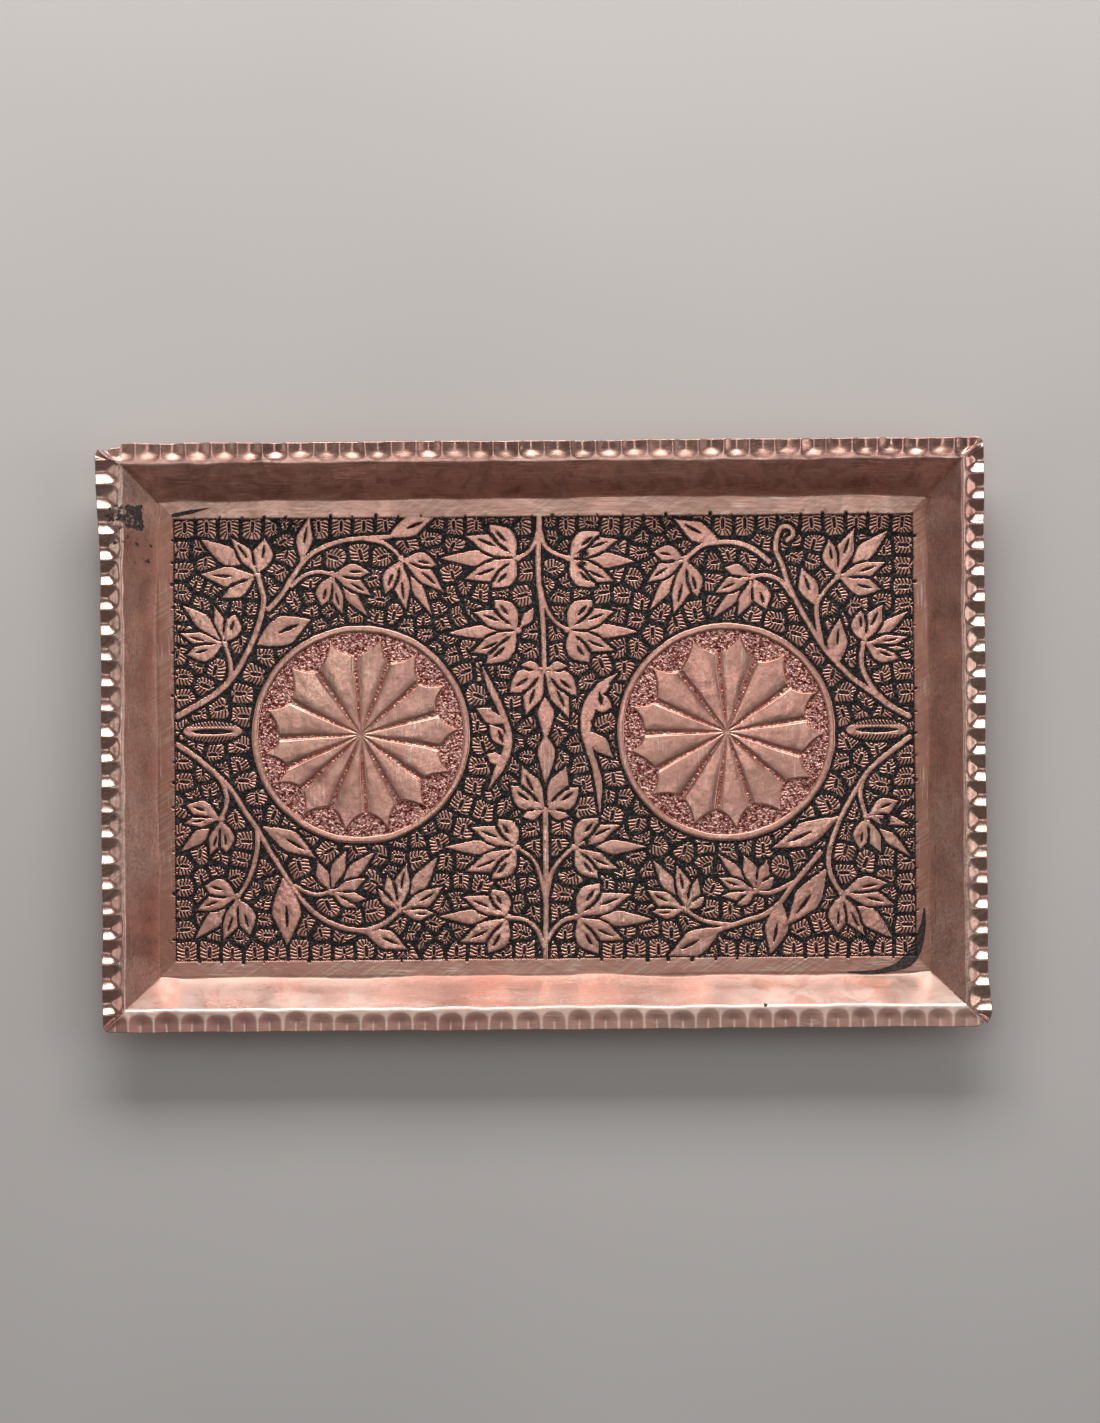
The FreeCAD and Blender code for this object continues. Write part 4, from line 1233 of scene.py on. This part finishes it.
def round_corners(points):
    """The rim's four corners in plan. The back left one is also stepped back from the back rim."""
    x = points[..., 0]
    y = points[..., 1]
    y = y - CORNER_STEP * ease((-x - (HALF_LENGTH - 10.5)) / 2.5) * ease((y - (HALF_WIDTH - 9)) / 6)
    left_radius = np.where(y > 0, BACK_LEFT_RADIUS, CORNER_RADIUS)
    right_radius = np.where(y > 0, CORNER_RADIUS, FRONT_RIGHT_RADIUS)
    radius = np.where(x > 0, right_radius, left_radius)
    dx = np.maximum(np.abs(x) - (HALF_LENGTH - radius), 0)
    dy = np.maximum(np.abs(y) - (HALF_WIDTH - radius), 0)
    shrink = np.maximum(dx, dy) / np.maximum(np.hypot(dx, dy), 1e-9)
    shrink = np.where((dx > 0) & (dy > 0), shrink, 1.0)
    new_x = np.sign(x) * (np.abs(x) - dx * (1 - shrink))
    new_y = np.sign(y) * (np.abs(y) - dy * (1 - shrink))
    return np.stack([new_x, new_y, points[..., 2]], -1)


def turn_plan(points, turns):
    c = (1, 0, -1, 0)[turns]
    d = (0, 1, 0, -1)[turns]
    x = points[..., 0] * c - points[..., 1] * d
    y = points[..., 0] * d + points[..., 1] * c
    return np.stack([x, y, points[..., 2]], -1)


def closed_sheet_quads(along, across):
    """Faces of a thick sheet: upper grid, lower grid and the four edges."""
    i, j = np.meshgrid(np.arange(along - 1), np.arange(across - 1), indexing="ij")
    upper = grid_faces((i * across + j).ravel(), across)
    shift = along * across
    lower = upper[:, ::-1] + shift
    rim = np.concatenate([
        np.arange(across),
        np.arange(1, along) * across + across - 1,
        (along - 1) * across + np.arange(across - 2, -1, -1),
        np.arange(along - 2, 0, -1) * across,
    ])
    after = np.roll(rim, -1)
    edge = np.stack([rim, rim + shift, after + shift, after], 1)
    return np.concatenate([upper, lower, edge])


def strip_uv(along, outline):
    """Upper face on the lower half of the map and under face on the upper half."""
    steps = np.hypot(*np.diff(outline, axis=0).T)
    v = np.concatenate([[0], np.cumsum(steps)]) / steps.sum()
    a, b = np.meshgrid(np.linspace(0, 1, along), v, indexing="ij")
    upper = np.stack([0.01 + 0.98 * a, 0.01 + 0.48 * b], -1).reshape(-1, 2)
    lower = np.stack([0.01 + 0.98 * a, 0.51 + 0.48 * b], -1).reshape(-1, 2)
    return np.concatenate([upper, lower])


def wall_ink(name, corners):
    """Black spilled on the wall: a ragged patch high on the left one."""
    x = corners[:, 0]
    y = corners[:, 1]
    depth = spill_at(x, y)
    if name == "left":
        ragged = 1.0 * wobble.at(x, y, 1.8)
        patch = 5.4 - np.maximum(np.abs(x + 180.2) / 1.45, np.abs(y - 95.6)) + ragged
        streak = 0.08 * wobble.at(0.3 * x, y, 1.6)
        thick = np.minimum(0.2 * patch, 0.12) + 0.012 * (x + 180) * (patch > 0) + streak
        trail = np.minimum(0.1 * (9 - np.hypot(x + 178, (y - 84) / 1.3)), 0) - 0.05
        return np.clip(0.5 + np.maximum(np.maximum(thick, trail), 0.5 * depth), 0, 1)
    return np.clip(0.5 + 0.5 * depth, 0, 1)


# ---------------------------------------------------------------- corner seams

SEAM_SUNK = 0.12
SEAM_RADIUS = 0.30
OUTER_BEAD_RADIUS = 0.62


def tube(points, radii, flat=1.0, sides=10):
    """Corner points and faces of a round bar through the points."""
    points = np.asarray(points, float)
    forward = np.gradient(points, axis=0)
    forward /= np.linalg.norm(forward, axis=1, keepdims=True)
    across = np.cross(forward, [0, 0, 1])
    across /= np.linalg.norm(across, axis=1, keepdims=True)
    up = np.cross(across, forward)
    angles = np.arange(sides) * 2 * pi / sides
    cosines = np.cos(angles)[None, :, None]
    sines = np.sin(angles)[None, :, None]
    ring = cosines * across[:, None] + flat * sines * up[:, None]
    corners = (points[:, None] + ring * np.asarray(radii)[:, None, None]).reshape(-1, 3)
    quads = []
    for i in range(len(points) - 1):
        for k in range(sides):
            n = (k + 1) % sides
            quads.append((i * sides + k, (i + 1) * sides + k, (i + 1) * sides + n, i * sides + n))
    for i in (0, len(points) - 1):
        for k in range(1, sides // 2):
            cap = [i * sides + n for n in (k - 1, k, sides - 1 - k, sides - k)]
            quads.append(cap if i == 0 else cap[::-1])
    return corners, np.array(quads)


def corner_seam(name, sx, sy):
    """Solder line up the inside of a mitre and a heavier bead up the outside."""
    outline = section()
    slit_open = name == "front_right"
    inner = outline[4:]
    inner = inner[inner[:, 0] < (WALL_RUN - 5.0 if slit_open else WALL_RUN + 1.5)]
    out, up = inner.T
    diag = np.stack([sx * (FLOOR_X + out), sy * (FLOOR_Y + out), up - SEAM_SUNK], 1)
    dice = np.random.default_rng(SEED + 31 * (sx + 2) + sy)
    radii = SEAM_RADIUS + 0.07 * dice.uniform(-1, 1, len(diag))
    radii[[0, -1]] = 0.12
    upper, upper_quads = tube(diag, radii, 0.8)
    shift = SHEET * tan(WALL_ANGLE / 2)
    t = np.linspace(0, 1, 24)
    out = FOOT_BEND + shift + 0.35 + t * (WALL_RUN - FOOT_BEND - 1.0)
    z = 0.75 + t * (RIM_TOP - SHEET - 1.5)
    outside = np.stack([sx * (FLOOR_X + out), sy * (FLOOR_Y + out), z], 1)
    bead_radii = OUTER_BEAD_RADIUS + 0.10 * dice.uniform(-1, 1, len(outside))
    lower, lower_quads = tube(outside, bead_radii)
    corners = np.concatenate([upper, lower])
    quads = np.concatenate([upper_quads, lower_quads + len(upper)])
    return new_mesh("seam_" + name, corners, quads)


# ---------------------------------------------------------------- the tray


def build_floor(copper_floor, petals, long_margin, short_margin, stippled, black):
    """Leaves, blocks, rosettes, punched grounds, beads, margins, lac and the floor's underside."""
    heights, motif, motifs = floor_heights()
    shown = cell_max(heights) > LAC_LEVEL - 0.16
    cell_motif = motif[:-1, :-1]
    pieces = [("leaves_" + name, i) for i, name in enumerate(motifs)]
    pieces += [("blocks_" + name, len(motifs) + i) for i, name in enumerate(motifs[1:])]
    for name, code in pieces:
        thing = sheet_from_grid(name, shown & (cell_motif == code), heights)
        finish_piece(thing, copper_floor, "floor_copper", "floor_panel")
    for i, name in enumerate(("left", "right")):
        for label, base, material in (
            ("rosette_", ROSETTE_MOTIF, petals),
            ("punched_ground_", STIPPLE_MOTIF, stippled),
            ("bead_", BEAD_MOTIF, copper_floor),
        ):
            keep = (cell_motif == base + i) & (shown | (base != BEAD_MOTIF))
            thing = sheet_from_grid(label + name, keep, heights)
            finish_piece(thing, material, "floor_copper", "floor_panel")
    for i, (name, material) in enumerate((("long", long_margin), ("short", short_margin))):
        keep = shown & (cell_motif == MARGIN_MOTIF + i)
        margin = sheet_from_grid("plain_margin_" + name, keep, heights)
        finish_piece(margin, material, "floor_copper", "floor_panel")
    build_lac(heights, motif, black)
    build_underside(long_margin)


def build_lac(heights, motif, black):
    """The lac: a punched skin that shows wherever the copper dips below it."""
    thinned = (slice(None, None, LAC_STEP), slice(None, None, LAC_STEP))
    x = X[thinned].astype(float)
    y = Y[thinned].astype(float)
    z = LAC_LEVEL - 0.03 + 0.11 * np.random.default_rng(SEED + 5).uniform(-1, 1, x.shape)
    low = heights[thinned] < LAC_LEVEL + 0.12
    low |= np.roll(low, 1, 0) | np.roll(low, -1, 0) | np.roll(low, 1, 1) | np.roll(low, -1, 1)
    field = np.abs(x - FIELD_SHIFT_X) < FIELD_X + LAC_PAST_FIELD
    field &= np.abs(y - FIELD_SHIFT_Y) < FIELD_Y + LAC_PAST_FIELD
    field &= medallion_distance(x, y) > BEAD_OUTER - 1.0
    good = field & (low | (motif[thinned] < 0))
    used, quads = faces_of_cells(cell_max(good) & ~cell_max(~field), x.shape[1])
    corners = np.stack([x.ravel()[used], y.ravel()[used], FLOOR_TOP + z.ravel()[used]], 1)
    uv = 0.01 + 0.98 * (corners[:, :2] + [FIELD_X + 3, FIELD_Y + 3]) / (2 * FIELD_X + 6)
    thing = new_mesh("black_lac", corners, quads, uv)
    finish_piece(thing, black, "black_lac", "black_fill")


def build_underside(material):
    """Back of the floor panel and its edge, with the chasing faintly felt through the sheet."""
    n = 120
    m = 76
    across = np.linspace(-PANEL_Y, PANEL_Y, m)
    gx, gy = np.meshgrid(np.linspace(-PANEL_X, PANEL_X, n), across, indexing="ij")
    inset = np.minimum(PANEL_X - np.abs(gx), PANEL_Y - np.abs(gy))
    felt = 0.07 * np.abs(wobble.at(gx, gy, 5.0)) * ease((inset - 8) / 4)
    under = np.stack([gx, gy, PANEL_UNDER + felt], -1)
    top_z = np.where(inset < 1e-6, FLOOR_TOP - 0.02, FLOOR_TOP - BELOW_CHASING)
    top = np.stack([gx, gy, top_z], -1)
    corners = np.concatenate([top.reshape(-1, 3), under.reshape(-1, 3)])
    quads = closed_sheet_quads(n, m)
    plan = (corners[:, :2] + [PANEL_X, PANEL_Y]) / (2 * PANEL_X)
    uv = 0.01 + 0.98 * plan * [1, 0.75]
    thing = new_mesh("panel_back", corners, quads, uv, ink=np.zeros(len(corners)))
    finish_piece(thing, material, "floor_copper", "floor_panel")


def build_border(front_copper, back_copper, short_copper, joint):
    for salt, side in enumerate(SIDES):
        name = side[0]
        thing = border_strip(*side, salt + 11)
        material = {"front": front_copper, "back": back_copper}.get(name, short_copper)
        finish_piece(thing, material, "border_copper", "border_strip_" + name)
    for end, sy in (("front", -1), ("back", 1)):
        for side, sx in (("left", -1), ("right", 1)):
            name = end + "_" + side
            finish_piece(corner_seam(name, sx, sy), joint, "solder", "corner_seam_" + name)
    for side in SIDES:
        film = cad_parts["foot_solder_" + side[0]]
        film.data.materials.clear()
        film.data.materials.append(joint)


# ---------------------------------------------------------------- studio


def build_stage():
    bpy.ops.mesh.primitive_plane_add(size=6, location=(0, 0, -0.0002))
    floor = bpy.context.object
    floor.name = "studio_floor"
    s = Shader("studio_paper")
    tone = s.span(s.noise(3, 2, 0.5), 0.3, 0.7)
    colour = s.blend(tone, (0.62, 0.59, 0.57), (0.66, 0.63, 0.61))
    floor.data.materials.append(s.finish(colour, 0.85, None, 0.0))


def area_light(name, place, aim, width, height, power, colour=(1, 1, 1)):
    lamp = bpy.data.lights.new(name, "AREA")
    lamp.shape = "RECTANGLE"
    lamp.size = width
    lamp.size_y = height
    lamp.energy = power
    lamp.color = colour
    thing = bpy.data.objects.new(name, lamp)
    direction = np.array(aim, float) - np.array(place, float)
    thing.location = place
    thing.rotation_euler = (
        atan2(hypot(direction[0], direction[1]), -direction[2]),
        0,
        atan2(direction[0], -direction[1]) + pi,
    )
    thing.visible_camera = False
    bpy.context.scene.collection.objects.link(thing)


def build_light():
    world = bpy.data.worlds.new("studio")
    bpy.context.scene.world = world
    world.use_nodes = True
    back = world.node_tree.nodes["Background"]
    back.inputs["Color"].default_value = (1.0, 0.97, 0.95, 1)
    back.inputs["Strength"].default_value = 0.14
    area_light("window", (0, 1.2, 0.7), (0, 0, 0.0), 1.5, 0.5, 17.5, (1.0, 0.98, 0.96))
    area_light("overhead", (0, 0.3, 1.6), (0, 0, 0), 0.55, 0.7, 1.8)
    area_light("fill_left", (-1.3, 0.1, 0.9), (0, 0, 0), 0.9, 0.8, 1.7)
    area_light("fill_right", (1.3, 0.1, 0.9), (0, 0, 0), 0.9, 0.8, 3.2)
    bpy.context.scene.view_settings.view_transform = "Standard"


def build_camera():
    """From above and a touch in front, with the long sides level and the tray in the middle."""
    lens = 300.0
    sensor = 36.0
    view_height = 0.6126       # what the picture's height covers at the rim
    aim_x = 0.0008
    aim_y = 0.0110
    tilt = radians(2.9)
    cam = bpy.data.cameras.new("camera")
    cam.lens = lens
    cam.sensor_fit = "VERTICAL"
    cam.sensor_height = sensor
    cam.clip_end = 50
    thing = bpy.data.objects.new("camera", cam)
    distance = RIM_TOP * MM + view_height * lens / sensor
    thing.location = (aim_x, aim_y - distance * sin(tilt), distance * cos(tilt))
    thing.rotation_euler = (tilt, 0, radians(-0.45))
    bpy.context.scene.collection.objects.link(thing)
    bpy.context.scene.camera = thing


def main():
    all_ways = (1, 1, 1)
    along_x = (0.12, 1, 1)
    along_y = (1, 0.12, 1)
    floor_copper = copper("floor_copper", all_ways, 0.30, deep=(FLOOR_TOP - 0.155) * MM,
                          shade=0.93, warm=0.22)
    # the rosette's groove bottoms are tinted a darker red: painted shade
    rosette_copper = copper("rosette_copper", all_ways, 0.31, deep=(FLOOR_TOP - 0.48) * MM,
                            deep_tint=(0.50, 0.15, 0.12), shade=0.92, warm=0.2)
    # the long margin gets painted shade at the front and painted light at the back
    long_margin = copper("margin_long", along_x, 0.38, (0, 1), warm=0.3, brushed=0.5,
                         painted_front_shade_back_light=0.3)
    # the short margins are painted darker than the long ones: painted shade
    short_margin = copper("margin_short", along_y, 0.42, (1, 0), shade=0.44, warm=0.4,
                          brushed=0.22)
    # the front wall is lightened with painted light, with painted highlight at its ends and on its
    # rim's ridges and flute middles
    front_copper = copper("border_front", along_x, 0.34, (0, 1), mottle=0.6, painted_wall_light=0.35,
                          painted_end_highlight=0.8, rim_rough=0.12, worn=0.7)
    # the back rim is darkened with painted shade
    back_copper = copper("border_back", along_x, 0.30, (0, 1), mottle=0.08, cloudy=0.45,
                         painted_rim_shade=0.14, rim_rough=-0.04)
    # the short walls are lightened with painted light
    short_copper = copper("border_short", along_y, 0.35, (1, 0), mottle=0.12, cloudy=0.25,
                          brushed=0.5, painted_wall_light=0.22)
    build_floor(floor_copper, rosette_copper, long_margin, short_margin, stippled_copper(), lac())
    build_border(front_copper, back_copper, short_copper, solder())
    build_stage()
    build_light()
    build_camera()


main()
